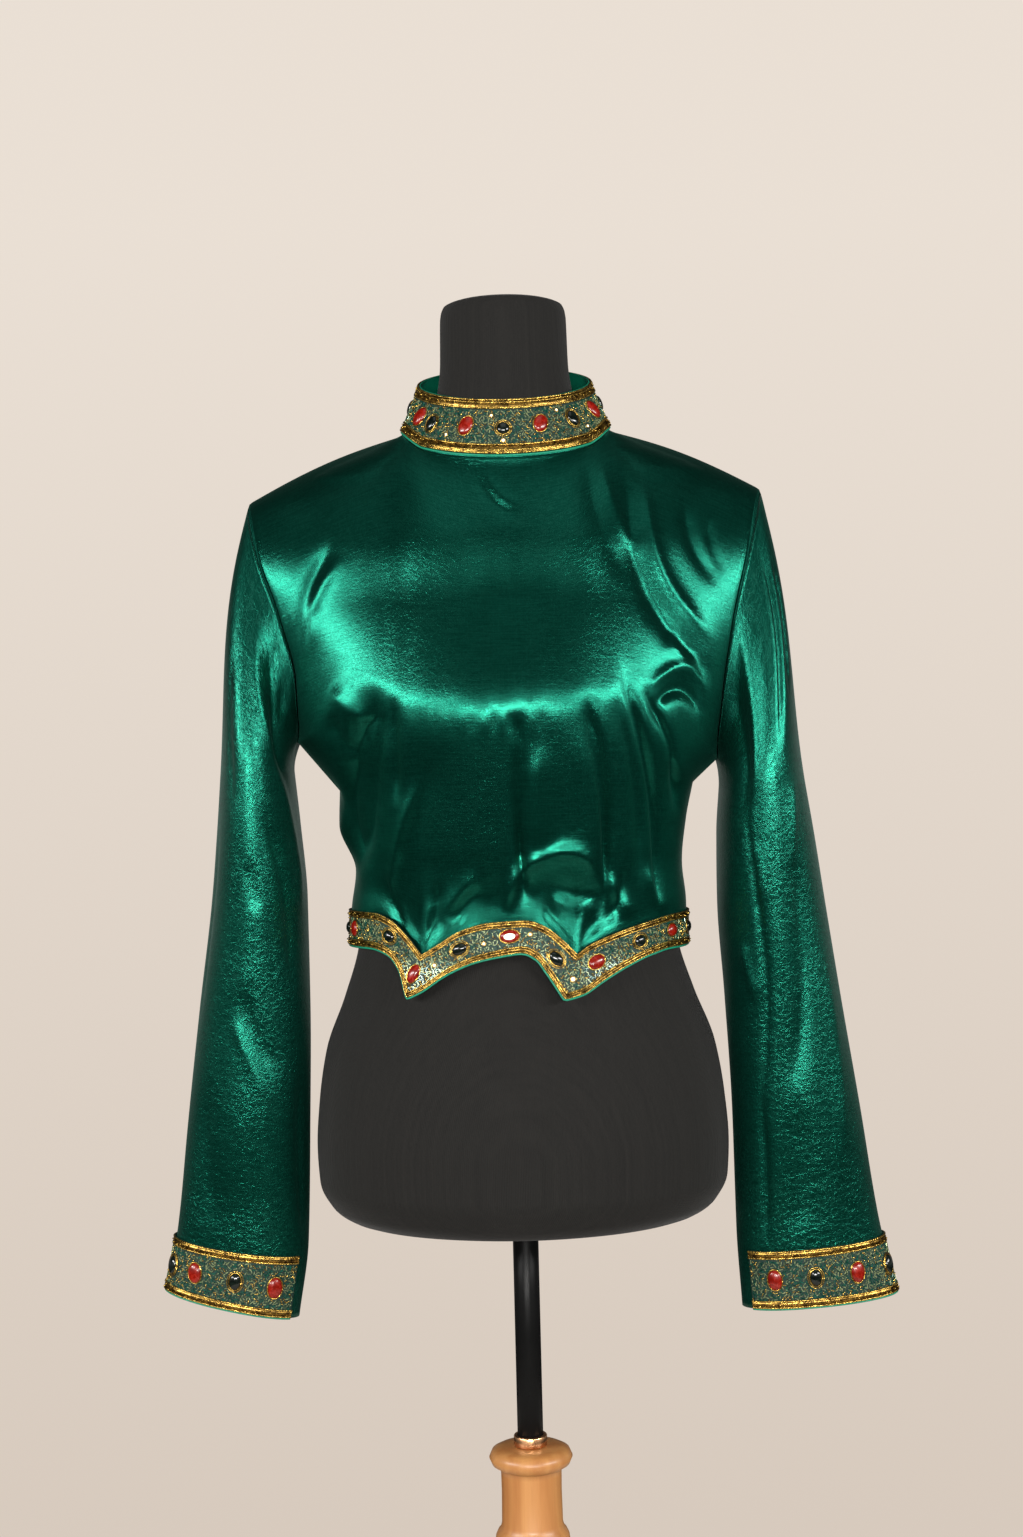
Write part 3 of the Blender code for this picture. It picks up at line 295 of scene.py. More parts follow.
def sleevePoints(side, angle, row):
    head, foot = sleeveRows[side][0][0], sleeveRows[side][-1][0]
    ring = sleeveRing(side, angle, head + (foot - head) * np.maximum(row - capRuns, 0) / sleeveRuns)
    start, end = armhole(side, angle % 360), sleeveRing(side, angle, np.full_like(angle, head))
    turn = np.radians(angle)
    length = np.linalg.norm(end - start, axis=-1, keepdims=True)
    spread = capPull["spread"] * np.sin(turn)
    startPull = vec(side * (capPull["out"] + np.abs(spread)), -spread, -capPull["down"]) * length
    endPull = unit(sleeveRing(side, angle, np.full_like(angle, head - 5.0)) - end) * length
    cap = hermite(start, startPull, end, endPull, (row / capRuns)[..., None])
    return np.where((row < capRuns)[..., None], cap, ring)


def collarPoints(angle, share):
    turn = np.radians(angle)
    ahead = np.cos(turn)
    foot = neckline(angle)
    depth = np.where(ahead > 0, collarForm["fore"], collarForm["rear"])
    lean = (neck["drop"] + neck["lift"]) / 2 * ahead * collarForm["halfWidth"] / neck["halfWidth"]
    head = vec(collarForm["halfWidth"] * np.sin(turn), -depth * ahead,
               neck["sideHeight"] + collarForm["height"] - lean)
    return foot + (head - foot) * np.asarray(share)[..., None]


# Meshes

def gridNormals(grid, closed=False):
    if closed:
        across = np.roll(grid, -1, axis=1) - np.roll(grid, 1, axis=1)
    else:
        across = np.gradient(grid, axis=1)
    return unit(np.cross(across, np.gradient(grid, axis=0)))


def corners(table):
    found = np.stack([table[:-1, :-1], table[:-1, 1:], table[1:, 1:], table[1:, :-1]], axis=2)
    return found.reshape((-1, 4) + table.shape[2:])


def runLength(line):
    return np.concatenate([[0.0], np.cumsum(np.linalg.norm(np.diff(line, axis=0), axis=1))])


def finish(name, points, faces, materials, uvs=None, kinds=None, slot=None, stands=(), flatKinds=()):
    # a piece from points in millimetres; uvs has one pair in metres for each face corner
    data = bpy.data.meshes.new(name)
    data.from_pydata((np.asarray(points) * mm).tolist(), [], faces)
    for material in materials:
        data.materials.append(material)
    if uvs is not None:
        layer = data.uv_layers.new(name="cut")
        layer.data.foreach_set("uv", np.asarray(uvs, np.float32).ravel())
    if kinds is not None:
        data.polygons.foreach_set("material_index", np.asarray(kinds, np.int32))
    flat = np.isin(np.asarray(kinds), flatKinds) if flatKinds else np.zeros(len(data.polygons), bool)
    data.polygons.foreach_set("use_smooth", ~flat)
    data.validate()
    data.update()
    piece = bpy.data.objects.new(name, data)
    bpy.context.scene.collection.objects.link(piece)
    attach(piece, "root")
    if stands:
        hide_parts(*stands)
    return piece


def shell(name, outer, wall, materials, closed=False, **how):
    # a thin cloth from its outer points, row by row, with its own rims; a second material lines it
    rows, columns = outer.shape[:2]
    inner = outer - gridNormals(outer, closed) * wall
    index = np.arange(rows * columns).reshape(rows, columns)
    along = np.broadcast_to(runLength(outer[rows // 2])[None], (rows, columns))
    up = np.broadcast_to(runLength(outer[:, columns // 3])[:, None], (rows, columns))
    if closed:
        index = np.hstack([index, index[:, :1]])
        last = along[:, -1:] + np.linalg.norm(outer[rows // 2, 0] - outer[rows // 2, -1])
        along, up = np.hstack([along, last]), np.hstack([up, up[:, :1]])
    uv = np.stack([along, up], axis=-1) * mm
    back = index + rows * columns
    faces = [corners(index), corners(back)[:, ::-1]]
    uvs = [corners(uv), corners(uv)[:, ::-1]]
    sideCount = len(faces[0])
    rims = [(np.stack([index[0], back[0]])[::-1], uv[[0, 0]]),
            (np.stack([index[-1], back[-1]]), uv[[-1, -1]])]
    if not closed:
        rims.append((np.stack([index[:, 0], back[:, 0]]), np.stack([uv[:, 0]] * 2)))
        rims.append((np.stack([index[:, -1], back[:, -1]])[::-1], np.stack([uv[:, -1]] * 2)))
    for rim, place in rims:
        faces.append(corners(rim))
        uvs.append(corners(place))
    points = np.concatenate([outer.reshape(-1, 3), inner.reshape(-1, 3)])
    faces = np.concatenate(faces)
    order = np.arange(len(faces))
    kinds = np.where((order >= sideCount) & (order < 2 * sideCount), len(materials) - 1, 0)
    return finish(name, points, faces.tolist(), materials, np.concatenate(uvs), kinds, **how)


def tubeFaces(rows, sides, start=0):
    # the faces of a tube whose points go round it row by row, with a cap at each end
    index = np.arange(rows * sides).reshape(rows, sides) + start
    index = np.hstack([index, index[:, :1]])
    return corners(index).tolist() + [index[0, :-1][::-1].tolist(), index[-1, :-1].tolist()]


def turned(name, outline, sides, material, **how):
    # a turned piece from its outline: height and radius
    heights, radii = np.array(outline, float).T[:, :, None]
    turn = np.linspace(0, 2 * np.pi, sides, endpoint=False)
    grid = vec(radii * np.cos(turn), radii * np.sin(turn), heights)
    return finish(name, grid.reshape(-1, 3), tubeFaces(*grid.shape[:2]), [material], **how)


class Pile:
    # many small things joined into one piece
    def __init__(self):
        self.points, self.faces, self.kinds, self.count = [], [], [], 0

    def join(self, points, faces, kind):
        # the faces already count on from the points that the pile has
        points = points.reshape(-1, 3)
        self.points.append(points)
        self.faces += faces
        self.kinds += np.broadcast_to(kind, len(faces)).tolist()
        self.count += len(points)

    def add(self, shape, origins, frames, sizes, kind):
        # shape is (points, faces); frames are rows along, across and out; sizes scale the three
        points, faces = shape
        origins, sizes = np.atleast_2d(origins), np.atleast_2d(sizes)
        frames = np.asarray(frames).reshape(-1, 3, 3)
        placed = np.einsum("nkj,njc->nkc", points[None] * sizes[:, None], frames) + origins[:, None]
        starts = [self.count + k * len(points) for k in range(len(origins))]
        placedFaces = [[corner + start for corner in face] for start in starts for face in faces]
        self.join(placed, placedFaces, np.repeat(np.broadcast_to(kind, len(origins)), len(faces)))

    def tube(self, line, radius, kind, across, out, sides=6):
        # a tube round a line; across and out are unit vectors beside it
        turn = np.linspace(0, 2 * np.pi, sides, endpoint=False)[:, None]
        ring = across[:, None] * np.cos(turn) + out[:, None] * np.sin(turn)
        grid = line[:, None] + ring * np.broadcast_to(radius, len(line))[:, None, None]
        self.join(grid, tubeFaces(len(line), sides, self.count), kind)

    def make(self, name, materials, **how):
        return finish(name, np.concatenate(self.points), self.faces, materials, kinds=self.kinds, **how)


print("surface ready")


# Materials

class Nodes:
    # short hand for a node tree: in a keyword an underscore is a space, and i1 is input number 1
    def __init__(self, tree):
        self.tree = tree

    def add(self, kind, settings=None, **inputs):
        node = self.tree.nodes.new(kind)
        for name, value in (settings or {}).items():
            setattr(node, name, value)
        for name, value in inputs.items():
            numbered = name[0] == "i" and name[1:].isdigit()
            self.set(node.inputs[int(name[1:]) if numbered else name.replace("_", " ")], value)
        return node

    def set(self, socket, value):
        if isinstance(value, bpy.types.NodeSocket):
            self.tree.links.new(value, socket)
        else:
            socket.default_value = value

    def math(self, operation, a, b=0.0):
        return self.add("ShaderNodeMath", {"operation": operation}, i0=a, i1=b).outputs[0]

    def ramp(self, value, low, high, outLow=0.0, outHigh=1.0):
        return self.add("ShaderNodeMapRange", None, Value=value, From_Min=low, From_Max=high, To_Min=outLow,
                        To_Max=outHigh).outputs["Result"]

    def mix(self, share, a, b):
        return self.add("ShaderNodeMix", {"data_type": "RGBA"}, i0=share, i6=a, i7=b).outputs[2]

    def noise(self, place, scale, detail=2.0, roughness=0.5, distortion=0.0):
        return self.add("ShaderNodeTexNoise", None, Vector=place, Scale=scale, Detail=detail,
                        Roughness=roughness, Distortion=distortion).outputs[0]

    def place(self):
        return self.add("ShaderNodeTexCoord").outputs["Object"]

    def cutPlace(self):
        return self.add("ShaderNodeUVMap", {"uv_map": "cut"}).outputs[0]

    def threads(self, place, thread, slub):
        return self.add("ShaderNodeGroup", {"node_tree": weave}, Place=place, Thread=thread,
                        Slub=slub).outputs


def group(name, inputs, outputs):
    # an empty node group with named sockets: (name, kind, value)
    tree = bpy.data.node_groups.new(name, "ShaderNodeTree")
    for label, kind, value in inputs:
        socket = tree.interface.new_socket(label, in_out="INPUT", socket_type=kind)
        if value is not None:
            socket.default_value = value
    for label, kind in outputs:
        tree.interface.new_socket(label, in_out="OUTPUT", socket_type=kind)
    nodes = Nodes(tree)
    return nodes, nodes.add("NodeGroupInput").outputs, nodes.add("NodeGroupOutput").inputs


number, vector = "NodeSocketFloat", "NodeSocketVector"


def crinkleGroup():
    # short squiggling wrinkles of crushed satin: a height from 0 to 1, and a mask of the lines between them,
    # where a paler colour paints the sheen of the crinkles
    nodes, given, out = group("crinkle", [("Place", vector, None), ("Size", number, 0.006),
                                          ("Patches", number, 0.08)], [("Height", number), ("SheenLines", number)])
    scale = nodes.math("DIVIDE", 1.0, given["Size"])
    warp = nodes.add("ShaderNodeTexNoise", None, Vector=given["Place"],
                     Scale=nodes.math("MULTIPLY", scale, 0.45))
    bend = nodes.add("ShaderNodeVectorMath", {"operation": "MULTIPLY_ADD"}, i0=warp.outputs["Color"],
                     i1=(0.006, 0.006, 0.006), i2=given["Place"])
    lines = nodes.noise(bend.outputs[0], scale, 3.0, 0.55, 0.6)
    ridge = nodes.ramp(nodes.math("ABSOLUTE", nodes.math("SUBTRACT", lines, 0.5)), 0.0, 0.13)
    patches = nodes.noise(given["Place"], nodes.math("DIVIDE", 1.0, given["Patches"]), 1.0)
    mask = nodes.ramp(patches, 0.35, 0.65, 0.5, 1.0)
    sheenMask = nodes.ramp(ridge, 0.0, 0.30, 1.0, 0.0)
    nodes.set(out["SheenLines"], nodes.math("MULTIPLY", sheenMask, mask))
    nodes.set(out["Height"], nodes.math("MULTIPLY", ridge, mask))
    return nodes.tree


def weaveGroup():
    # fine crossing threads, uneven along their length
    nodes, given, out = group("weave", [("Place", vector, None), ("Thread", number, 0.0008),
                                        ("Slub", number, 0.5)], [("Height", number), ("Tone", number)])
    parts = nodes.add("ShaderNodeSeparateXYZ", None, Vector=given["Place"])
    turns = nodes.math("DIVIDE", 6.283, given["Thread"])
    tones, waves = [], []
    for along, across in (("X", "Y"), ("Y", "X")):
        place = nodes.add("ShaderNodeCombineXYZ", None, Y=parts.outputs[across],
                          X=nodes.math("MULTIPLY", parts.outputs[along], 0.05))
        tones.append(nodes.noise(place.outputs[0], nodes.math("DIVIDE", 0.9, given["Thread"]), 2.0, 0.7))
        waves.append(nodes.math("SINE", nodes.math("MULTIPLY", parts.outputs[along], turns)))
    warpTone = nodes.math("MULTIPLY", nodes.math("SUBTRACT", tones[1], 0.5), 0.35)
    slubs = nodes.math("ADD", nodes.math("SUBTRACT", tones[0], 0.5), warpTone)
    tone = nodes.math("MULTIPLY", slubs, given["Slub"])
    nodes.set(out["Tone"], tone)
    grid = nodes.math("MULTIPLY", nodes.math("MULTIPLY", *waves), 0.3)
    nodes.set(out["Height"], nodes.math("ADD", grid, tone))
    return nodes.tree


crinkle, weave = crinkleGroup(), weaveGroup()


def material(name, **sockets):
    made = bpy.data.materials.new(name)
    made.use_nodes = True
    nodes = Nodes(made.node_tree)
    shader = made.node_tree.nodes["Principled BSDF"]
    for label, value in sockets.items():
        nodes.set(shader.inputs[label.replace("_", " ")], value)
    return made, nodes, shader


def bump(nodes, shader, height):
    # the height is in metres
    node = nodes.add("ShaderNodeBump", None, Height=height, Distance=1.0, Strength=1.0)
    nodes.set(shader.inputs["Normal"], node.outputs[0])


# line is a paler colour painted along the crinkle lines as their sheen, and lines is how much of it
bodySatin = {"deep": (0.0004, 0.038, 0.025, 1), "bright": (0.004, 0.070, 0.046, 1),
             "line": (0.018, 0.150, 0.105, 1), "lines": 0.24, "metal": 0.9, "roughness": 0.31,
             "anisotropy": 0.85, "wrinkle": 0.0036, "crinkle": 0.00004, "thread": 0.0011, "weave": 0.00003}
sleeveSatin = dict(bodySatin, lines=0.40, anisotropy=0.62, crinkle=0.00011)
liningLook = {"deep": (0.0, 0.10, 0.055, 1), "bright": (0.0, 0.16, 0.09, 1), "roughness": 0.5,
              "thread": 0.0009, "weave": 0.00005}
groundLook = {"deep": (0.0, 0.005, 0.0035, 1), "bright": (0.001, 0.020, 0.013, 1), "roughness": 0.6,
              "thread": 0.0010, "weave": 0.0001}


def satinMaterial(name, look):
    made, nodes, shader = material(name, Metallic=look["metal"], Roughness=look["roughness"],
                                   Anisotropic=look["anisotropy"], Specular_IOR_Level=0.15,
                                   Sheen_Weight=0.02, Sheen_Roughness=0.35, Sheen_Tint=(0.3, 1.0, 0.75, 1.0))
    place = nodes.cutPlace()
    wrinkle = nodes.add("ShaderNodeGroup", {"node_tree": crinkle}, Place=place, Size=look["wrinkle"]).outputs
    threads = nodes.threads(place, look["thread"], 0.9)
    base = nodes.mix(nodes.ramp(threads["Tone"], -0.25, 0.25), look["deep"], look["bright"])
    # a paler colour painted along the crinkle lines, as their sheen
    lines = nodes.math("MULTIPLY", wrinkle["SheenLines"], look["lines"])
    nodes.set(shader.inputs["Base Color"], nodes.mix(lines, base, look["line"]))
    bump(nodes, shader, nodes.math("ADD", nodes.math("MULTIPLY", wrinkle["Height"], look["crinkle"]),
                                   nodes.math("MULTIPLY", threads["Height"], look["weave"])))
    tangent = nodes.add("ShaderNodeTangent", {"direction_type": "UV_MAP", "uv_map": "cut"})
    nodes.set(shader.inputs["Tangent"], tangent.outputs[0])
    return made


def wovenMaterial(name, look, onCut):
    made, nodes, shader = material(name, Roughness=look["roughness"], Specular_IOR_Level=0.3)
    threads = nodes.threads(nodes.cutPlace() if onCut else nodes.place(), look["thread"], 0.8)
    tone = nodes.ramp(threads["Tone"], -0.25, 0.25)
    nodes.set(shader.inputs["Base Color"], nodes.mix(tone, look["deep"], look["bright"]))
    bump(nodes, shader, nodes.math("MULTIPLY", threads["Height"], look["weave"]))
    return made


satin, sleeveCloth = satinMaterial("satin_body", bodySatin), satinMaterial("satin_sleeve", sleeveSatin)
lining = wovenMaterial("lining_cloth", liningLook, onCut=False)
borderGround = wovenMaterial("border_ground", groundLook, onCut=True)


# The cloth pieces

# x0, z0, x1, z1, bow, width, depth; a positive depth is a trough
frontFolds = [
    (2, 1176, 4, 1136, -2, 3.5, 2.0), (4, 1142, 5, 1050, 2, 3.4, 8.0),
    (18, 1150, 16, 1080, 2, 9, -2.0), (56, 1176, 66, 1050, -5, 3.4, 8.0),
    (48, 1160, 52, 1070, -3, 8, -1.5), (78, 1182, 92, 1060, -5, 6, 3.0),
    (84, 1196, 106, 1034, -8, 4, 5.0), (100, 1190, 122, 1110, -6, 4, 5.0),
    (112, 1180, 126, 1130, 3, 5, -3.0), (-72, 1128, -96, 1036, 4, 5, -3.0),
    (-88, 1186, -88, 1120, 0, 4, 3.5), (-60, 1150, -78, 1050, 3, 11, 2.0),
    (-102, 1190, -121, 1072, 4, 13, 12.0), (-30, 1062, -66, 1032, -4, 7, -2.5),
    (-8, 1040, 24, 1076, -7, 6, -4.0), (24, 1076, 58, 1066, -5, 6, -3.5),
    (28, 1050, 66, 1047, 5, 7, 2.6), (26, 1040, 62, 1030, -4, 4, -2.0),
    (-98, 1056, -77, 1010, 3, 6, 3.6), (-58, 1052, -69, 1008, -3, 5, 3.2),
    (-88, 1040, -75, 1004, 1, 3, -2.0), (-66, 1038, -72, 1002, 0, 3, -1.6),
    (22, 1040, 40, 1006, 3, 4.5, 3.4), (64, 1046, 47, 1006, -3, 5.5, 3.4),
    (50, 1034, 45, 1002, 1, 2.6, -1.6), (80, 1058, 66, 1022, -2, 4, 3.0),
    (-30, 1050, -44, 1022, 3, 6, 2.6), (70, 1056, 84, 1028, 2, 5, -3.0),
    (98, 1060, 112, 1026, 2, 4, -2.5), (90, 1346, 150, 1206, 20, 7, 4.0),
    (104, 1340, 152, 1232, 14, 5, -3.0), (60, 1362, 84, 1281, 4, 9, 2.5),
    (72, 1360, 100, 1296, 5, 5, -2.0), (-22, 1358, 2, 1327, 4, 4, 2.0),
    (-16, 1362, 8, 1332, 4, 4, -1.5), (-136, 1306, -158, 1212, 9, 6, 3.5),
    (-128, 1296, -150, 1236, 7, 5, -2.5), (-146, 1262, -160, 1216, 3, 5, 2.5),
    (108, 1188, 142, 1180, -11, 6, 4.5), (104, 1200, 146, 1196, -13, 4, -3.0),
    (119, 1233, 140, 1212, 3, 7, -3.0), (-134, 1200, -104, 1176, 4, 9, -3.0),
    (-136, 1180, -120, 1150, 3, 7, 3.0), (134, 1330, 158, 1274, 6, 5, 3.0),
    (152, 1320, 162, 1283, 3, 4, 2.5)]
backFolds = [
    (8, 1180, 12, 1050, 4, 4, 3.5), (-16, 1170, -10, 1046, -3, 4, 3.5),
    (66, 1190, 78, 1044, 6, 5, 4.0), (-70, 1186, -80, 1048, -5, 5, 4.0),
    (30, 1060, 70, 1042, 6, 7, -3.0), (-64, 1062, -24, 1040, -6, 7, -3.0),
    (104, 1310, 150, 1216, 12, 6, 3.5), (-100, 1312, -152, 1220, -12, 6, 3.5),
    (40, 1160, 46, 1040, 4, 11, 2.5), (-42, 1165, -36, 1045, -4, 12, 2.5),
    (92, 1200, 104, 1060, 5, 12, 2.5), (-96, 1190, -88, 1050, -5, 13, 2.5),
    (120, 1330, 148, 1230, 8, 11, 2.0), (-118, 1325, -150, 1232, -8, 12, 2.0)]
# the same for a sleeve, but the places are an angle round it and a height
sleeveFolds = {
    left: [
        (78, 1254, 135, 1146, 9, 5, -2.2), (93, 1250, 152, 1138, 9, 6, 5.0),
        (89, 1262, 112, 1199, 0, 3.5, -1.8), (108, 1240, 128, 1180, 3, 5, 3.0),
        (135, 1205, 150, 1165, 0, 5, -2.5), (62, 1232, 66, 1120, 4, 9, 1.6),
        (136, 1142, 158, 1040, -6, 8, -2.5), (112, 1110, 138, 985, -7, 12, 3.0),
        (88, 1072, 96, 1040, 0, 6, 1.5), (84, 975, 116, 915, 4, 10, 2.2),
        (76, 955, 108, 894, 0, 3.2, -1.3), (150, 905, 158, 790, 4, 10, 2.6),
        (34, 1090, 24, 960, 3, 5, 1.4), (52, 900, 70, 800, 6, 14, 1.8),
        (300, 1180, 250, 1060, 6, 13, 2.5), (290, 960, 255, 900, 5, 13, 2.0),
        (236, 1120, 212, 1010, -5, 9, 2.4)],
    right: [
        (48, 1312, 74, 1165, 2, 3.2, 3.2), (38, 1289, 52, 1200, 2, 3.2, 3.0),
        (100, 1262, 128, 1100, -4, 11, 4.5), (84, 1262, 112, 1112, -4, 4.5, -2.4),
        (120, 1094, 124, 885, 13, 3.6, 3.2), (126, 880, 128, 770, 3, 4, 2.6),
        (68, 1068, 97, 890, 8, 10, 3.4), (112, 1078, 108, 1036, 2, 5, -1.6),
        (132, 1000, 122, 962, 0, 6, -2.2), (60, 1120, 74, 1060, 0, 5, -1.5),
        (44, 985, 60, 830, 5, 10, -1.8), (96, 880, 100, 780, 3, 10, 2.4),
        (300, 1170, 255, 1070, 6, 13, 2.5), (292, 950, 250, 890, 5, 13, 2.0),
        (238, 1110, 214, 1000, -5, 9, 2.4)]}
clothWall, seamWidth, seamDepth = 0.9, 1.8, 0.5
smoothing = {"across": 260, "up": 70}


def foldDepth(folds, x, z):
    total = np.zeros_like(x)
    for x0, z0, x1, z1, bow, width, depth in folds:
        runX, runZ = x1 - x0, z1 - z0
        offX, offZ = x - x0, z - z0
        length = math.hypot(runX, runZ)
        along = (offX * runX + offZ * runZ) / length ** 2
        away = (offX * runZ - offZ * runX) / length - bow * np.sin(np.pi * np.clip(along, 0, 1))
        fade = ease(-0.15, 0.25, along) * (1 - ease(0.75, 1.15, along))
        total += depth * fade * np.exp(-np.abs(away / width) ** 1.4)
    return total


def seamDip(places):
    # how far a row or column of points sinks beside a seam at its two ends
    distance = np.minimum(places - places[0], places[-1] - places)
    return seamDepth * np.exp(-(distance / seamWidth) ** 2)


# the fullest line of the chest: its height, depth, the slope above and below it, its sharpness and waver
bustLine = {"height": 1187.0, "depth": 127.5, "above": 0.318, "below": 0.21, "sharp": 12.5, "waver": 1.3}
# the little pleats that start under that line, and how the cloth sinks in above the hem, with a slow wave
pleat = {"pitch": 2.1, "depth": 0.32, "height": 1173, "reach": 9}
sink = {"from": 1078, "slope": 0.085, "most": 4.4, "wave": 0.8, "height": 1048, "reach": 12}


def smoothAcross(grid, hold, passes):
    for _ in range(passes):
        middle = (grid[:, :-2] + 2 * grid[:, 1:-1] + grid[:, 2:]) / 4
        grid[:, 1:-1] += (middle - grid[:, 1:-1]) * hold[:, 1:-1, None]
    return grid


def smoothUp(grid, hold, passes):
    return smoothAcross(grid.transpose(1, 0, 2), hold.T, passes).transpose(1, 0, 2)


def bustDepth(x, z):
    # the chest leans back above the line and in towards the hem below it
    waver = np.sin(x / 23.0) + 0.7 * np.sin(x / 9.5 + 1.0) + 0.6 * np.sin(x / 3.6 + 1.5 * np.sin(x / 14.0))
    away = z - bustLine["height"] - bustLine["waver"] * waver
    mean, lean = (bustLine["above"] + bustLine["below"]) / 2, (bustLine["above"] - bustLine["below"]) / 2
    return bustLine["depth"] - mean * np.sqrt(away ** 2 + bustLine["sharp"] ** 2) - lean * away


def shapeFront(grid, place, row):
    # moves the middle of the front to that profile, and adds the pleats and the sink above the hem
    middle = grid.shape[1] // 2
    order = np.argsort(grid[:, middle, 2])
    plain = -np.interp(grid[..., 2], grid[order, middle, 2], grid[order, middle, 1])
    x, z = grid[..., 0], grid[..., 2]
    side = ease(0.62, 0.98, np.abs(place)) * ease(3.6, 4.4, row)
    share = ease(1.0, 2.1, row) * (1 - ease(1262, 1318, z)) * (1 - side)
    grid[..., 1] *= 1 + (bustDepth(x, z) / plain - 1) * share
    pleats = np.sin(x / pleat["pitch"] + 1.3 * np.sin(x / 9.0)) * (0.6 + 0.4 * np.sin(x / 17.0 + 2.0))
    grid[..., 1] -= pleat["depth"] * pleats * np.exp(-((z - pleat["height"]) / pleat["reach"]) ** 2) * share
    wave = sink["wave"] * np.sin(x / 27.0 + 0.8) * np.exp(-((z - sink["height"]) / sink["reach"]) ** 2)
    fall = np.clip(sink["slope"] * (sink["from"] - z), 0, sink["most"]) + wave
    grid[..., 1] += fall * ease(0.1, 0.7, row) * (1 - ease(0.8, 1, np.abs(place)))
    return grid


def panelGrid(face, s, folds):
    rows = np.concatenate([np.linspace(0, 4, 44)[:-1], np.linspace(4, 7, 44)[:-1],
                           np.linspace(7, 10.92, 54), [10.96, 11.0]])
    if face == rearFace:
        s = s[::-1]
    place, row = np.meshgrid(s, rows)
    away = np.abs(place)
    grid = panelPoints(face, place, row)
    free = ease(0, 0.8, 11 - row) * ease(3.2, 5.0, row) * (1 - ease(0.85, 1, away))
    grid = smoothAcross(grid, free * (1 if face == foreFace else ease(0, 0.08, away)), smoothing["across"])
    loose = ease(0.02, 0.7, 11 - row) * ease(1.3, 2.4, row) * (1 - ease(0.74, 0.93, away))
    grid = smoothUp(grid, loose, smoothing["up"])
    upper = (row > 4.5) & (row < 10.9)
    grid = np.where(upper[..., None], clearOfForm(grid), grid)
    if face == foreFace:
        grid = shapeFront(grid, place, row)
    hold = ease(1.0, 1.3, row) * (1 - ease(9, 11, row)) * (1 - ease(0.72, 1, away))
    grid = grid - gridNormals(grid) * (foldDepth(folds, grid[..., 0], grid[..., 2]) * hold)[..., None]
    across = seamDip(runLength(grid[60]))[None] * ease(0.9, 1.2, row)
    top = 0.3 * seamDepth * np.exp(-((rows[-1] - rows) * 37 / seamWidth) ** 2)[:, None]
    grid = grid - gridNormals(grid) * np.maximum(across, top)[..., None]
    return np.where(((row > 1.3) & (row < 10.8))[..., None], clearOfForm(grid), grid)


def cloth(node, grid, materials, wall=clothWall, closed=False):
    return shell(node + "_cloth", grid, wall, materials, closed, stands=(node,), slot="satin")


def buildBody():
    half = np.concatenate([np.linspace(0, 1, 128)[:-1], [0.9945, 0.9975, 1.0]])
    places = np.concatenate([-half[:0:-1], half])
    grids = {"front": panelGrid(foreFace, places, frontFolds),
             "back_left": panelGrid(rearFace, -half[::-1], backFolds),
             "back_right": panelGrid(rearFace, half, backFolds)}
    pieces = [cloth(node, grid, [satin]) for node, grid in grids.items()]
    print("body cloth", [len(piece.data.polygons) for piece in pieces])
    return pieces, grids["back_left"], grids["back_right"]


def sleeveGrid(side):
    angles = np.linspace(0, 360, 136, endpoint=False)
    if side == right:
        angles = (360 - angles) % 360
    rows = np.concatenate([[0, 0.06, 0.14], np.linspace(0, 6, 52)[1:], np.linspace(6, 16, 116)[1:]])[::-1]
    angle, row = np.meshgrid(angles, rows)
    grid = sleevePoints(side, angle, row)
    hold = ease(0, 1.5, row) * (1 - ease(14.2, 15.1, row))
    folds = foldDepth(sleeveFolds[side], angle, grid[..., 2]) * hold
    grid = grid - gridNormals(grid, True) * folds[..., None]
    dip = seamDepth * np.exp(-(row * 22 / seamWidth) ** 2)
    return grid - gridNormals(grid, True) * dip[..., None]


def buildSleeves():
    pieces = [cloth(node, sleeveGrid(side), [sleeveCloth], closed=True)
              for side, node in ((left, "sleeve_left"), (right, "sleeve_right"))]
    print("sleeves", [len(piece.data.polygons) for piece in pieces])
    return pieces


def buildCollar():
    share = np.concatenate([[0, 0.03, 0.08], np.linspace(0.15, 0.95, 12), [0.985, 1.0]])
    angle, row = np.meshgrid(np.linspace(-180, 180, 241), share)
    return cloth("collar", collarPoints(angle, row), [satin, lining])


placket = {"lift": 1.6, "wall": 1.0, "footRow": 14}


def buildPlacket(rearLeft, rearRight):
    # a lapped strip over the opening at the centre back, from above the border to the collar
    rows = slice(placket["footRow"], rearLeft.shape[0] - 4)
    outer = np.concatenate([rearRight[rows, -5:], rearLeft[rows, 1:5]], axis=1)
    return cloth("back_placket", outer + gridNormals(outer) * placket["lift"], [satin], placket["wall"])


bodyPieces, rearLeftGrid, rearRightGrid = buildBody()
sleevePieces = buildSleeves()
collarPiece = buildCollar()
placketPiece = buildPlacket(rearLeftGrid, rearRightGrid)


# The beaded borders

def mottledMaterial(name, colors, cloud, share, gloss, glossCloud=None, **sockets):
    # two colours mixed by a cloudy noise between two shares, and a roughness that varies with it
    made, nodes, shader = material(name, **sockets)
    place = nodes.place()
    tone = nodes.noise(place, *cloud)
    nodes.set(shader.inputs["Base Color"], nodes.mix(nodes.ramp(tone, *share), *colors))
    glint = nodes.noise(place, *glossCloud) if glossCloud else tone
    nodes.set(shader.inputs["Roughness"], nodes.ramp(glint, 0.3, 0.7, *gloss))
    return made


def goldMaterial(name, deep, bright):
    return mottledMaterial(name, (deep, bright), (260.0, 3.0, 0.7), (0.35, 0.65), (0.18, 0.42),
                           (1400.0, 1.0), Metallic=0.95)


def glassMaterial(name, dark, light, metal, roughness):
    return mottledMaterial(name, (dark, light), (700.0, 1.0), (0.35, 0.65),
                           (roughness * 0.7, roughness * 1.3), Metallic=metal, Coat_Weight=0.15,
                           Coat_Roughness=0.08)


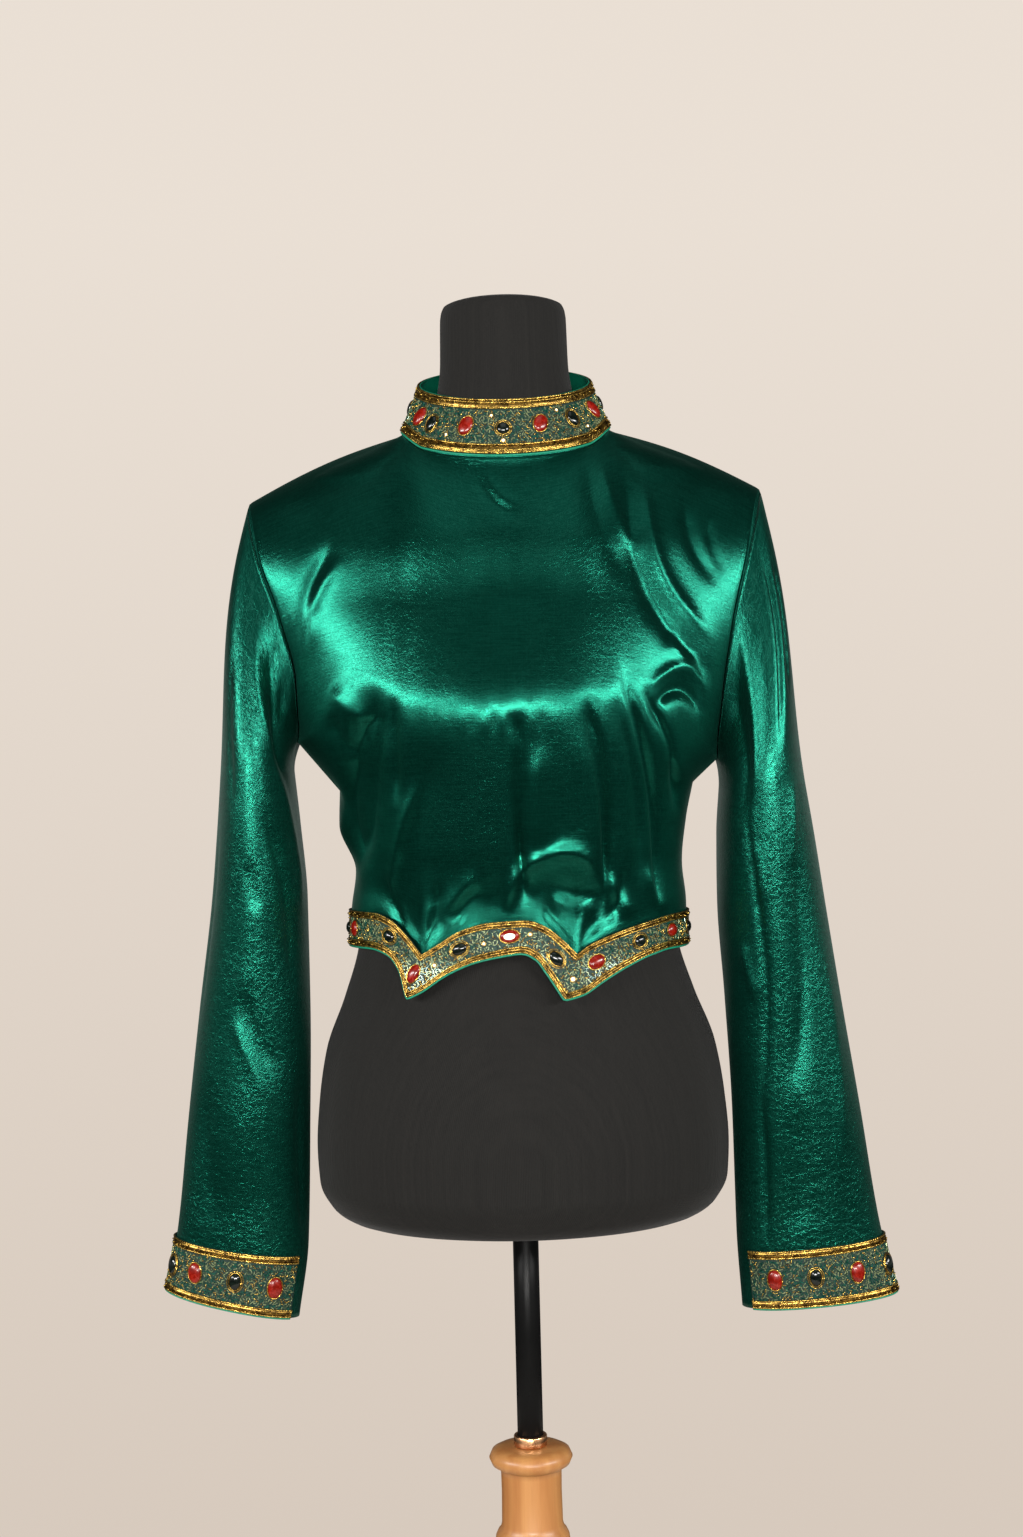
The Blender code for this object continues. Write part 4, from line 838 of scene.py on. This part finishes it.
def stoneMaterial(name, deep, bright, roughness):
    return mottledMaterial(name, (deep, bright), (240.0, 3.0, 0.6, 0.5), (0.35, 0.7),
                           (roughness * 0.8, roughness * 1.4), Coat_Weight=0.12, Coat_Roughness=0.06,
                           Specular_IOR_Level=0.3)


# a face's kind is its place in trimMaterials; an inlaid stone is red with a pearl in it
pale, green, gold, red, black, pearl, piped, ribbed, inlaid = range(9)
trimMaterials = [
    glassMaterial("bead_pale", (0.030, 0.060, 0.032, 1), (0.24, 0.27, 0.13, 1), 0.5, 0.3),
    glassMaterial("bead_green", (0.0, 0.018, 0.011, 1), (0.004, 0.075, 0.048, 1), 0.2, 0.2),
    goldMaterial("gold_thread", (0.07, 0.033, 0.005, 1), (0.50, 0.33, 0.070, 1)),
    stoneMaterial("stone_red", (0.085, 0.0022, 0.0006, 1), (0.17, 0.005, 0.0012, 1), 0.24),
    stoneMaterial("stone_black", (0.001, 0.002, 0.0015, 1), (0.004, 0.007, 0.005, 1), 0.15),
    stoneMaterial("pearl", (0.74, 0.66, 0.48, 1), (0.90, 0.86, 0.72, 1), 0.22),
    lining,
    # the ribbon's gold is darker than the cords': painted shade where it lies lower between them
    goldMaterial("gold_ribbon_painted_shade", (0.018, 0.009, 0.002, 1), (0.28, 0.165, 0.034, 1))]


class Band:
    # a strip on the cloth; a place on it is how far along its middle and how far up from its lower edge
    def __init__(self, grid, marks):
        self.grid, self.normals, self.marks = grid, gridNormals(grid), marks
        self.along = runLength(grid[len(grid) // 2])
        self.length = self.along[-1]
        self.widths = np.linalg.norm(grid[-1] - grid[0], axis=-1)

    def column(self, u):
        return np.interp(u, self.along, np.arange(len(self.along)))

    def width(self, u):
        return np.interp(u, self.along, self.widths)

    def whereMark(self, mark):
        return float(np.interp(mark, self.marks, self.along))

    def read(self, table, u, v):
        column = self.column(u)
        row = np.asarray(v) / self.width(u) * (len(self.grid) - 1)
        i = np.clip(column.astype(int), 0, len(self.along) - 2)
        j = np.clip(np.floor(row).astype(int), 0, len(self.grid) - 2)
        a, b = (column - i)[..., None], (row - j)[..., None]
        low = table[j, i] * (1 - a) + table[j, i + 1] * a
        high = table[j + 1, i] * (1 - a) + table[j + 1, i + 1] * a
        return low * (1 - b) + high * b

    def at(self, u, v, lift=0.0):
        u, v, lift = np.broadcast_arrays(np.asarray(u, float), v, lift)
        return self.read(self.grid, u, v) + unit(self.read(self.normals, u, v)) * lift[..., None]

    def frames(self, u, v, turn=0.0):
        u, v, turn = np.broadcast_arrays(np.asarray(u, float), v, turn)
        out = unit(self.read(self.normals, u, v))
        share = v / self.width(u)
        ahead = np.clip(u + 0.8, 0, self.length)
        behind = np.clip(u - 0.8, 0, self.length)
        along = self.at(ahead, share * self.width(ahead)) - self.at(behind, share * self.width(behind))
        along = unit(along - out * (along * out).sum(-1, keepdims=True))
        up = np.cross(out, along)
        c, s = np.cos(turn)[..., None], np.sin(turn)[..., None]
        return np.stack([along * c + up * s, up * c - along * s, out], axis=-2)


def bugleShape():
    turn = np.radians([0, 60, 120, 180])
    points = [(x, math.cos(t) / 2, math.sin(t)) for x in (-0.5, 0.5) for t in turn]
    faces = [[k, k + 4, k + 5, k + 1] for k in range(3)] + [[0, 1, 2, 3], [7, 6, 5, 4]]
    return np.array(points), faces


def seedShape():
    points = [(0.5 * math.cos(t), 0.5 * math.sin(t), 0.15) for t in np.radians(np.arange(0, 360, 60))]
    points += [(0.36 * math.cos(t), 0.36 * math.sin(t), 0.72) for t in np.radians(np.arange(30, 390, 60))]
    points.append((0, 0, 0.95))
    steps = [(k, (k + 1) % 6) for k in range(6)]
    faces = [[k, after, 6 + k] for k, after in steps] + [[6 + k, after, 6 + after] for k, after in steps]
    return np.array(points), faces + [[6 + k, 6 + after, 12] for k, after in steps]


def domeShape(sides=22, rings=6):
    turns = np.linspace(0, 2 * np.pi, sides, False)
    points = []
    for rise in np.linspace(0, 0.93, rings):
        radius = math.sqrt(1 - rise ** 2.4) * 0.5
        points += [(radius * math.cos(t), radius * math.sin(t), rise) for t in turns]
    points.append((0, 0, 1.0))
    steps = [(k, (k + 1) % sides) for k in range(sides)]
    faces = [[j * sides + k, j * sides + after, (j + 1) * sides + after, (j + 1) * sides + k]
             for j in range(rings - 1) for k, after in steps]
    last = (rings - 1) * sides
    return np.array(points), faces + [[last + k, last + after, rings * sides] for k, after in steps]


bugle, seed, dome = bugleShape(), seedShape(), domeShape()
# a bead's random share makes it pale below pale, green below green, else gold; above round it is a seed
beadWork = {"lift": 1.25, "wall": 0.8, "bugle": (2.7, 0.8, 0.7), "seed": 1.3, "edgeSeed": 1.25,
            "cellAlong": 2.5, "cellUp": 1.8, "pale": 0.50, "green": 0.80, "round": 0.91}
# rings of the setting: gap from the stone and thickness
setting = {"rise": 3.1, "ring": (0.35, 0.55), "outerRing": (1.75, 0.42)}
cord = {"step": 0.55, "pipingStep": 2.2, "bead": 2.2}
ribbon = {"step": 0.62, "ridge": (0.1, 0.62, 0.75, 0.62, 0.1), "rib": 0.22}
looseSeeds = {"step": 4.6, "scatter": 1.2, "rows": (0.3, 0.5, 0.68)}
# how far up from the border's edge, radius and lift
piping = {"foot": (-0.7, 0.85, 0.6), "top": (-0.2, 0.6, 0.2)}
# a border edge's width and the radius of its cords
edges = {"collar": (8.2, 0.85), "hem": (5.2, 0.62), "cuff": (6.4, 0.75)}


def addStone(pile, band, mark, up, along, across, turn, kind):
    # a cabochon in its gold setting, a share up the border; black ones have a second ring
    u = band.whereMark(mark)
    v = up * band.width(u)
    lift = beadWork["lift"]
    turn = math.radians(turn)
    frames = band.frames(u, v, turn)
    base = band.at(u, v, lift)
    rise = min(setting["rise"], along * 0.6)
    pile.add(dome, base, frames, (along, across, rise), red if kind == inlaid else kind)
    if kind == inlaid:
        pile.add(dome, band.at(u, v, lift + 1.5), frames, (along * 0.66, across * 0.6, 2.0), pearl)
    ahead, aside, out = frames.reshape(3, 3)
    circle = np.linspace(0, 2 * np.pi, 27)
    for gap, thick in (setting["ring"], setting["outerRing"])[:2 if kind == black else 1]:
        line = base + np.outer((along / 2 + gap) * np.cos(circle), ahead)
        line = line + np.outer((across / 2 + gap) * np.sin(circle), aside) + out * 0.25
        outward = unit(np.outer(across * np.cos(circle), ahead) + np.outer(along * np.sin(circle), aside))
        pile.tube(line, thick, gold, outward, np.broadcast_to(out, line.shape))
    return u, v, along / 2 + gap + 0.5, across / 2 + gap + 0.5, turn


def scatterBeads(pile, band, edge, stones):
    # short bugles laid in swirls over the ground, with a few gold seeds between them
    stepU, stepV = beadWork["cellAlong"], beadWork["cellUp"]
    u, v = np.meshgrid(np.arange(1.6, band.length - 1.2, stepU),
                       np.arange(edge + 0.9, band.widths.max(), stepV))
    u = u + (np.arange(len(u)) % 2)[:, None] * stepU / 2
    u, v = u.ravel(), v.ravel()
    u = u + random.uniform(-0.45, 0.45, u.shape)
    v = v + random.uniform(-0.3, 0.3, v.shape)
    keep = (v < band.width(u) - edge - 0.8) & (u < band.length - 1.2)
    for centreU, centreV, halfU, halfV, turn in stones:
        a, b = u - centreU, v - centreV
        c, s = math.cos(turn), math.sin(turn)
        keep &= ((a * c + b * s) / (halfU + 0.5)) ** 2 + ((b * c - a * s) / (halfV + 0.4)) ** 2 > 1
    u, v = u[keep], v[keep]
    turn = 2.6 * np.sin(u / 3.9 + 1.4 * np.sin(v / 3.1)) + 2.0 * np.cos(v / 2.6 + u / 7.3)
    turn = turn + random.uniform(-0.5, 0.5, u.shape)
    pick = random.random(u.shape)
    kind = np.where(pick < beadWork["pale"], pale, np.where(pick < beadWork["green"], green, gold))
    isSeed = pick > beadWork["round"]
    isBugle, seedCount = ~isSeed, int(isSeed.sum())
    size = np.array(beadWork["bugle"]) * random.uniform(0.85, 1.12, (len(u), 1))
    base, frames = band.at(u, v, beadWork["lift"] - 0.05), band.frames(u, v, turn)
    pile.add(bugle, base[isBugle], frames[isBugle], size[isBugle], kind[isBugle])
    seedSize = np.full((seedCount, 3), beadWork["seed"]) * random.uniform(0.8, 1.15, (seedCount, 1))
    pile.add(seed, base[isSeed], frames[isSeed], seedSize, gold)


def addCord(pile, band, up, radius, kind=gold, fromTop=False, lift=None, twist=True):
    # a chain of small gold beads along the border, or a plain round piping
    u = np.linspace(0.0, band.length, int(band.length / cord["step" if twist else "pipingStep"]))
    v = band.width(u) - up if fromTop else np.full_like(u, up)
    lift = beadWork["lift"] + radius * 0.7 if lift is None else lift
    frames = band.frames(u, v)
    beaded = 0.78 + 0.34 * np.abs(np.sin(np.pi * u / cord["bead"])) if twist else np.ones_like(u)
    pile.tube(band.at(u, v, lift), radius * beaded, kind, frames[:, 1], frames[:, 2])


def addRibbon(pile, band, low, high, fromTop=False):
    # a flat ribbed ribbon between two cords, in a darker gold that paints the shade between them
    ridge = np.array(ribbon["ridge"])[:, None]
    u = np.arange(0.0, band.length, ribbon["step"])
    v = np.linspace(low, high, len(ridge))[:, None]
    v = band.width(u)[None] - v[::-1] if fromTop else v + 0 * u[None]
    lift = beadWork["lift"] + ridge + ribbon["rib"] * np.where(np.arange(len(u)) % 2, 1, -1)[None]
    index = np.arange(v.size).reshape(v.shape) + pile.count
    pile.join(band.at(np.broadcast_to(u, v.shape), v, lift), corners(index).tolist(), ribbed)


def addEdge(pile, band, width, thick, fromTop):
    # one braided edge: two cords, the ribbon between them and loose gold seeds along it
    addCord(pile, band, thick, thick, fromTop=fromTop)
    addCord(pile, band, width - thick, thick, fromTop=fromTop)
    addRibbon(pile, band, thick * 1.7, width - thick * 1.7, fromTop)
    if width > 7:
        addCord(pile, band, width * 0.36, thick * 0.75, fromTop=fromTop, lift=beadWork["lift"] + 0.9)
    u = np.arange(2.5, band.length - 2, looseSeeds["step"])
    u = u + random.uniform(-looseSeeds["scatter"], looseSeeds["scatter"], u.shape)
    v = width * random.choice(looseSeeds["rows"], u.shape)
    v = band.width(u) - v if fromTop else v
    size = np.full((len(u), 3), beadWork["edgeSeed"]) * random.uniform(0.8, 1.2, (len(u), 1))
    pile.add(seed, band.at(u, v, beadWork["lift"] + 0.7), band.frames(u, v), size, gold)


def buildBorder(name, band, edge, stones, topPiping=False):
    lifted = band.grid + band.normals * beadWork["lift"]
    ground = shell(name + "_ground", lifted, beadWork["wall"], [borderGround], slot="beaded_braid",
                   stands=(name,))
    width, thick = edges[edge]
    braid, beads = Pile(), Pile()
    addEdge(braid, band, width, thick, False)
    addEdge(braid, band, width, thick, True)
    for place in ("foot", "top") if topPiping else ("foot",):
        up, radius, lift = piping[place]
        addCord(braid, band, up, radius, piped, place == "top", lift, twist=False)
    taken = [addStone(beads, band, *stone) for stone in stones]
    scatterBeads(beads, band, width, taken)
    pieces = [braid.make(name + "_braid", trimMaterials, slot="beaded_braid"),
              beads.make(name + "_beads", trimMaterials, slot="beaded_braid", flatKinds=(pale, green))]
    print(name, "length", round(band.length), "width", round(float(band.widths.mean())),
          "beads", len(beads.faces))
    return ground, pieces


# mark, share up the border, size along, size across, turn, kind
collarStones = [
    (-150, 0.5, 10, 12, 0, black), (-122, 0.5, 11, 15, 0, red), (-94, 0.5, 10, 13, 0, black),
    (-62, 0.5, 11.5, 15.5, -4, red), (-49, 0.46, 9.5, 12.5, 0, black), (-24, 0.5, 11, 15.5, -8, red),
    (-1.5, 0.47, 9.5, 9.5, 0, black), (21, 0.52, 10.5, 14.5, -32, red),
    (44, 0.52, 9.5, 12.5, 0, black), (66, 0.52, 11, 15, 10, red), (94, 0.5, 10, 13, 0, black),
    (122, 0.5, 11, 15, 0, red), (150, 0.5, 10, 12, 0, black), (-1.5, 0.245, 2.6, 2.6, 0, pearl),
    (-36, 0.3, 2.2, 2.2, 0, pearl), (33, 0.72, 2.2, 2.2, 0, pearl), (-8.5, 0.7, 2.0, 2.0, 0, pearl),
    (55, 0.3, 2.2, 2.2, 0, pearl)]
hemStones = [
    (-82, 0.5, 9, 9, 0, black), (-72, 0.5, 11, 12, 0, red), (-47.5, 0.52, 11, 9, 0, black),
    (-35.6, 0.5, 9, 15, 32, red), (-19.4, 0.52, 12, 8.5, 4, black), (-2.9, 0.55, 14.5, 9.5, 0, inlaid),
    (12.0, 0.5, 12.5, 8.5, 4, black), (25.4, 0.52, 14, 10, 0, red), (43.2, 0.52, 10.5, 9, 0, black),
    (61.3, 0.52, 12, 9.5, 0, red), (80, 0.52, 10, 9, 0, black), (17.2, 0.42, 3.4, 3.4, 0, pearl),
    (-28, 0.5, 2.4, 2.4, 0, pearl), (3.6, 0.6, 2.2, 2.2, 0, pearl), (-11, 0.45, 2.2, 2.2, 0, pearl)]
hemRearStones = [(28, 0.5, 11, 9, 0, black), (60, 0.5, 12, 10, 0, red)]
cuffStones = {
    left: [
        (22, 0.5, 10, 14, 0, black), (55, 0.5, 11, 15.5, 8, red), (91, 0.5, 9, 13, 4, black),
        (124, 0.48, 11.5, 16.5, 8, red), (-52, 0.5, 10, 13.5, 0, black), (-88, 0.5, 11, 16, 0, red),
        (-124, 0.5, 10, 13.5, 0, black)],
    right: [
        (20, 0.5, 10, 14, 0, black), (60, 0.5, 11, 16, 0, red), (92, 0.5, 9, 13, 0, black),
        (122, 0.5, 11, 16, 0, red), (-52, 0.5, 11, 16, 0, red), (-88, 0.5, 10, 13.5, 0, black),
        (-124, 0.5, 11, 16, 0, red)]}


def hemBand():
    outline = []
    for k, run in enumerate(hemRunAt):
        first, last = run.places[0], run.places[-1]
        outline.append(run(np.linspace(first, last, 25 * int(last - first) + 1)[(1 if k else 0):]))
    footAngle, footHeight, headAngle, headHeight = np.concatenate(outline, axis=1)
    for _ in range(3):      # the lower points are a little rounder than the upper notches
        for line in (footAngle, footHeight):
            line[1:-1] = (line[:-2] + line[1:-1] + line[2:]) / 3
    share = np.linspace(0, 1, 9)[:, None]
    angle = (footAngle + (headAngle - footAngle) * share) * 0.985
    height = footHeight + (headHeight - footHeight) * share
    return Band(girthPoints(foreFace, angle / 90, height), angle[4])


def rearHemBand(side):
    # the marks are angles from the centre back, below 0 on the right so that they rise there too
    places = np.sort(np.linspace(0.012, 0.985, 120) * side)[::-1]
    s, share = np.meshgrid(places, np.linspace(0, 1, 7))
    low, high = hemLevel(hemFootAt, rearFace, s), hemLevel(hemHeadAt, rearFace, s)
    marks = 90 * np.abs(places) * (-1 if side == right else 1)
    return Band(girthPoints(rearFace, s, low + (high - low) * share), marks)


def collarBand():
    angles = np.linspace(-178.6, 178.6, 340)
    angle, share = np.meshgrid(angles, np.linspace(0.05, 1.0, 9))
    return Band(collarPoints(angle, share), angles)


cuffWrap = {"turn": 149, "foot": 0.5, "head": 45.0}


def cuffBand(side):
    # the marks are angles from the sleeve's outer side through the front, turned round on the right
    marks = np.linspace(-cuffWrap["turn"], cuffWrap["turn"], 260)
    rises = np.linspace(cuffWrap["foot"], cuffWrap["head"], 9)
    angle, up = np.meshgrid(-marks if side == right else marks, rises)
    return Band(sleeveRing(side, angle, sleeveRows[side][-1][0] + up), marks)


def mirrored(stones):
    return [(-stone[0],) + stone[1:] for stone in stones]


borders = [buildBorder("collar_trim", collarBand(), "collar", collarStones, topPiping=True),
           buildBorder("hem_trim_front", hemBand(), "hem", hemStones),
           buildBorder("hem_trim_back_left", rearHemBand(left), "hem", hemRearStones),
           buildBorder("hem_trim_back_right", rearHemBand(right), "hem", mirrored(hemRearStones)),
           buildBorder("cuff_trim_left", cuffBand(left), "cuff", cuffStones[left]),
           buildBorder("cuff_trim_right", cuffBand(right), "cuff", mirrored(cuffStones[right]))]


# The dress form and its stand

def formMaterial():
    made, nodes, shader = material("form_jersey", Roughness=0.8, Sheen_Weight=0.04, Sheen_Roughness=0.5,
                                   Specular_IOR_Level=0.12)
    place = nodes.place()
    threads = nodes.threads(place, 0.0012, 1.0)
    fleck = nodes.noise(place, 900.0, 2.0, 0.6)
    tone = nodes.math("ADD", nodes.ramp(threads["Tone"], -0.3, 0.3, 0, 0.5),
                      nodes.ramp(fleck, 0.3, 0.7, 0, 0.5))
    base = nodes.mix(tone, (0.0015, 0.0014, 0.0012, 1), (0.0065, 0.006, 0.0052, 1))
    nodes.set(shader.inputs["Base Color"], base)
    bump(nodes, shader, nodes.math("MULTIPLY", threads["Height"], 0.0002))
    return made


def enamelMaterial():
    made, nodes, shader = material("pole_enamel", Base_Color=(0.003, 0.003, 0.003, 1),
                                   Specular_IOR_Level=0.06)
    smear = nodes.noise(nodes.place(), 35.0, 3.0)
    nodes.set(shader.inputs["Roughness"], nodes.ramp(smear, 0.3, 0.7, 0.24, 0.38))
    return made


def brassMaterial():
    colors = (0.62, 0.30, 0.14, 1), (0.85, 0.48, 0.25, 1)
    return mottledMaterial("ring_metal", colors, (120.0, 3.0), (0.0, 1.0), (0.2, 0.38), Metallic=1.0)


def woodMaterial():
    made, nodes, shader = material("turned_beech", Roughness=0.42, Coat_Weight=0.12, Coat_Roughness=0.25,
                                   Specular_IOR_Level=0.3)
    stretched = nodes.add("ShaderNodeMapping", None, Vector=nodes.place(), Scale=(1.0, 1.0, 0.045)).outputs[0]
    rings = nodes.noise(stretched, 95.0, 5.0, 0.6, 0.4)
    streak = nodes.noise(stretched, 520.0, 3.0, 0.6)
    base = nodes.mix(nodes.ramp(rings, 0.35, 0.68), (0.29, 0.135, 0.043, 1), (0.22, 0.086, 0.024, 1))
    base = nodes.mix(nodes.ramp(streak, 0.55, 0.8, 0, 0.45), base, (0.19, 0.070, 0.019, 1))
    nodes.set(shader.inputs["Base Color"], base)
    bump(nodes, shader, nodes.math("MULTIPLY", streak, 0.0001))
    return made


# height and radius
poleOutline = [(611.3, 9.6), (611.7, 10.0), (789.3, 10.0), (789.7, 9.6)]
ringOutline = [
    (619.9, 10.4), (619.9, 12.2), (619.6, 12.7), (619.0, 13.0), (612.2, 13.0), (611.6, 12.7),
    (611.3, 12.2), (611.3, 10.4), (619.9, 10.4)]
postOutline = [
    (611, 0.01), (611, 15), (610.8, 22), (610.2, 26), (608, 30.3), (603, 32.5), (598, 30.3),
    (595.5, 26), (594, 23.8), (590, 23.6), (576, 23.4), (552, 23.8), (548, 24.8), (545.5, 27),
    (542, 28.6), (538, 29.2), (532, 28.8), (528, 27.4), (524, 25.5), (480, 25.8), (300, 28), (110, 30),
    (104, 32.4), (100, 34), (94, 33), (88, 31.5), (72, 33), (56, 37), (42, 43), (30.4, 52),
    (30.4, 0.01)]
baseOutline = [
    (30, 0.01), (30, 150), (29.4, 155), (28, 158.4), (26, 161.6), (22, 165.4), (17, 168.5), (10, 170),
    (3, 170), (1, 169), (0, 167), (0, 0.01)]


def buildForm():
    # height where a run starts, and how many rows it has
    runs = [(790, 22), (830, 104), (1340, 34), (1420, 16), (1494, 7), (1500, 0)]
    heights = [np.linspace(low, high, count)[:-1] for (low, count), (high, _) in zip(runs, runs[1:])]
    heights = np.concatenate(heights + [[1500]])
    halfWidth, fore, rear = formAt(heights)
    turn = np.linspace(0, 2 * np.pi, 96, endpoint=False)
    depth = np.where(np.sin(turn)[None] < 0, fore[:, None], rear[:, None])
    grid = vec(halfWidth[:, None] * np.cos(turn), depth * np.sin(turn), heights[:, None])
    return finish("form_body", grid.reshape(-1, 3), tubeFaces(*grid.shape[:2]), [formMaterial()],
                  slot="form_cloth", stands=("form_torso",))


buildForm()
wood = woodMaterial()
turned("form_rod", poleOutline, 64, enamelMaterial(), slot="black_enamel", stands=("form_pole",))
turned("form_collar_ring", ringOutline[::-1], 64, brassMaterial(), slot="brass", stands=("form_ring",))
turned("form_column", postOutline[::-1], 96, wood, slot="turned_wood", stands=("form_post",))
turned("form_foot", baseOutline[::-1], 128, wood, slot="turned_wood", stands=("form_base",))
print("form and stand ready")


# Camera, light and floor

view = {"lens": 49.19, "sensor": 36.0, "place": (-0.0019, -1.638, 1.139), "roll": 1.42}
camera = bpy.data.objects.new("camera", bpy.data.cameras.new("camera"))
camera.data.lens, camera.data.sensor_width = view["lens"], view["sensor"]
camera.location = view["place"]
camera.rotation_euler = (math.pi / 2, math.radians(view["roll"]), 0)
bpy.context.scene.collection.objects.link(camera)
bpy.context.scene.camera = camera


def areaLight(name, place, aim, size, power, tint):
    light = bpy.data.lights.new(name, "AREA")
    light.shape, light.size, light.size_y = "RECTANGLE", size[0], size[1]
    light.energy, light.color = power, tint
    made = bpy.data.objects.new(name, light)
    made.location = place
    made.rotation_euler = (Vector(aim) - Vector(place)).to_track_quat("-Z", "Y").to_euler()
    bpy.context.scene.collection.objects.link(made)


# place, the point it faces, size, power and tint
lights = {"front_soft": ((0.0, -2.6, 1.12), (0, 0, 1.16), (1.7, 0.17), 104, (1.0, 0.98, 0.95)),
          "left_soft": ((-2.2, -1.5, 1.68), (0, 0, 1.15), (2.0, 0.3), 105, (1.0, 0.99, 0.97)),
          "right_soft": ((2.2, -1.5, 1.68), (0, 0, 1.15), (2.0, 0.3), 105, (1.0, 0.99, 0.97)),
          "top_soft": ((0.0, -0.8, 2.9), (0, 0, 1.1), (1.6, 1.6), 8, (1, 1, 1))}
for name, values in lights.items():
    areaLight(name, *values)


# how bright the room is level with the camera and elsewhere, and how far up and down the bright part reaches
studio = {"band": 0.34, "dim": 0.025, "spread": 0.11, "lit": (0.96, 0.94, 0.90, 1),
          "wallLow": (0.68, 0.59, 0.51, 1), "wallHigh": (0.82, 0.74, 0.66, 1)}


def backdrop():
    world = bpy.data.worlds.new("studio")
    bpy.context.scene.world = world
    world.use_nodes = True
    nodes = Nodes(world.node_tree)
    world.node_tree.nodes.clear()
    direction = nodes.add("ShaderNodeTexCoord").outputs["Generated"]
    height = nodes.add("ShaderNodeSeparateXYZ", None, Vector=direction).outputs["Z"]
    wall = nodes.mix(nodes.ramp(height, -0.34, 0.25), studio["wallLow"], studio["wallHigh"])
    seen = nodes.add("ShaderNodeBackground", None, Color=wall, Strength=1.0)
    rise = nodes.math("DIVIDE", height, studio["spread"])
    band = nodes.math("POWER", 2.718, nodes.math("MULTIPLY", nodes.math("MULTIPLY", rise, rise), -1.0))
    glow = nodes.math("ADD", nodes.math("MULTIPLY", band, studio["band"]), studio["dim"])
    lit = nodes.add("ShaderNodeBackground", None, Color=studio["lit"], Strength=glow)
    rays = nodes.add("ShaderNodeLightPath").outputs["Is Camera Ray"]
    mixed = nodes.add("ShaderNodeMixShader", None, i0=rays, i1=lit.outputs[0], i2=seen.outputs[0])
    output = nodes.add("ShaderNodeOutputWorld")
    nodes.tree.links.new(mixed.outputs[0], output.inputs["Surface"])


backdrop()
bpy.context.scene.view_settings.view_transform = "Standard"


floorLook = {"radius": 1.2, "deep": (0.44, 0.40, 0.36, 1), "bright": (0.48, 0.44, 0.39, 1)}


def buildFloor():
    made, nodes, shader = material("floor_paint", Roughness=0.7)
    tone = nodes.noise(nodes.place(), 3.0, 3.0)
    nodes.set(shader.inputs["Base Color"], nodes.mix(tone, floorLook["deep"], floorLook["bright"]))
    bpy.ops.mesh.primitive_circle_add(vertices=96, radius=floorLook["radius"], fill_type="NGON",
                                      location=(0, 0, -0.0005))
    floor = bpy.context.object
    floor.name = "floor"
    floor.data.materials.append(made)


buildFloor()
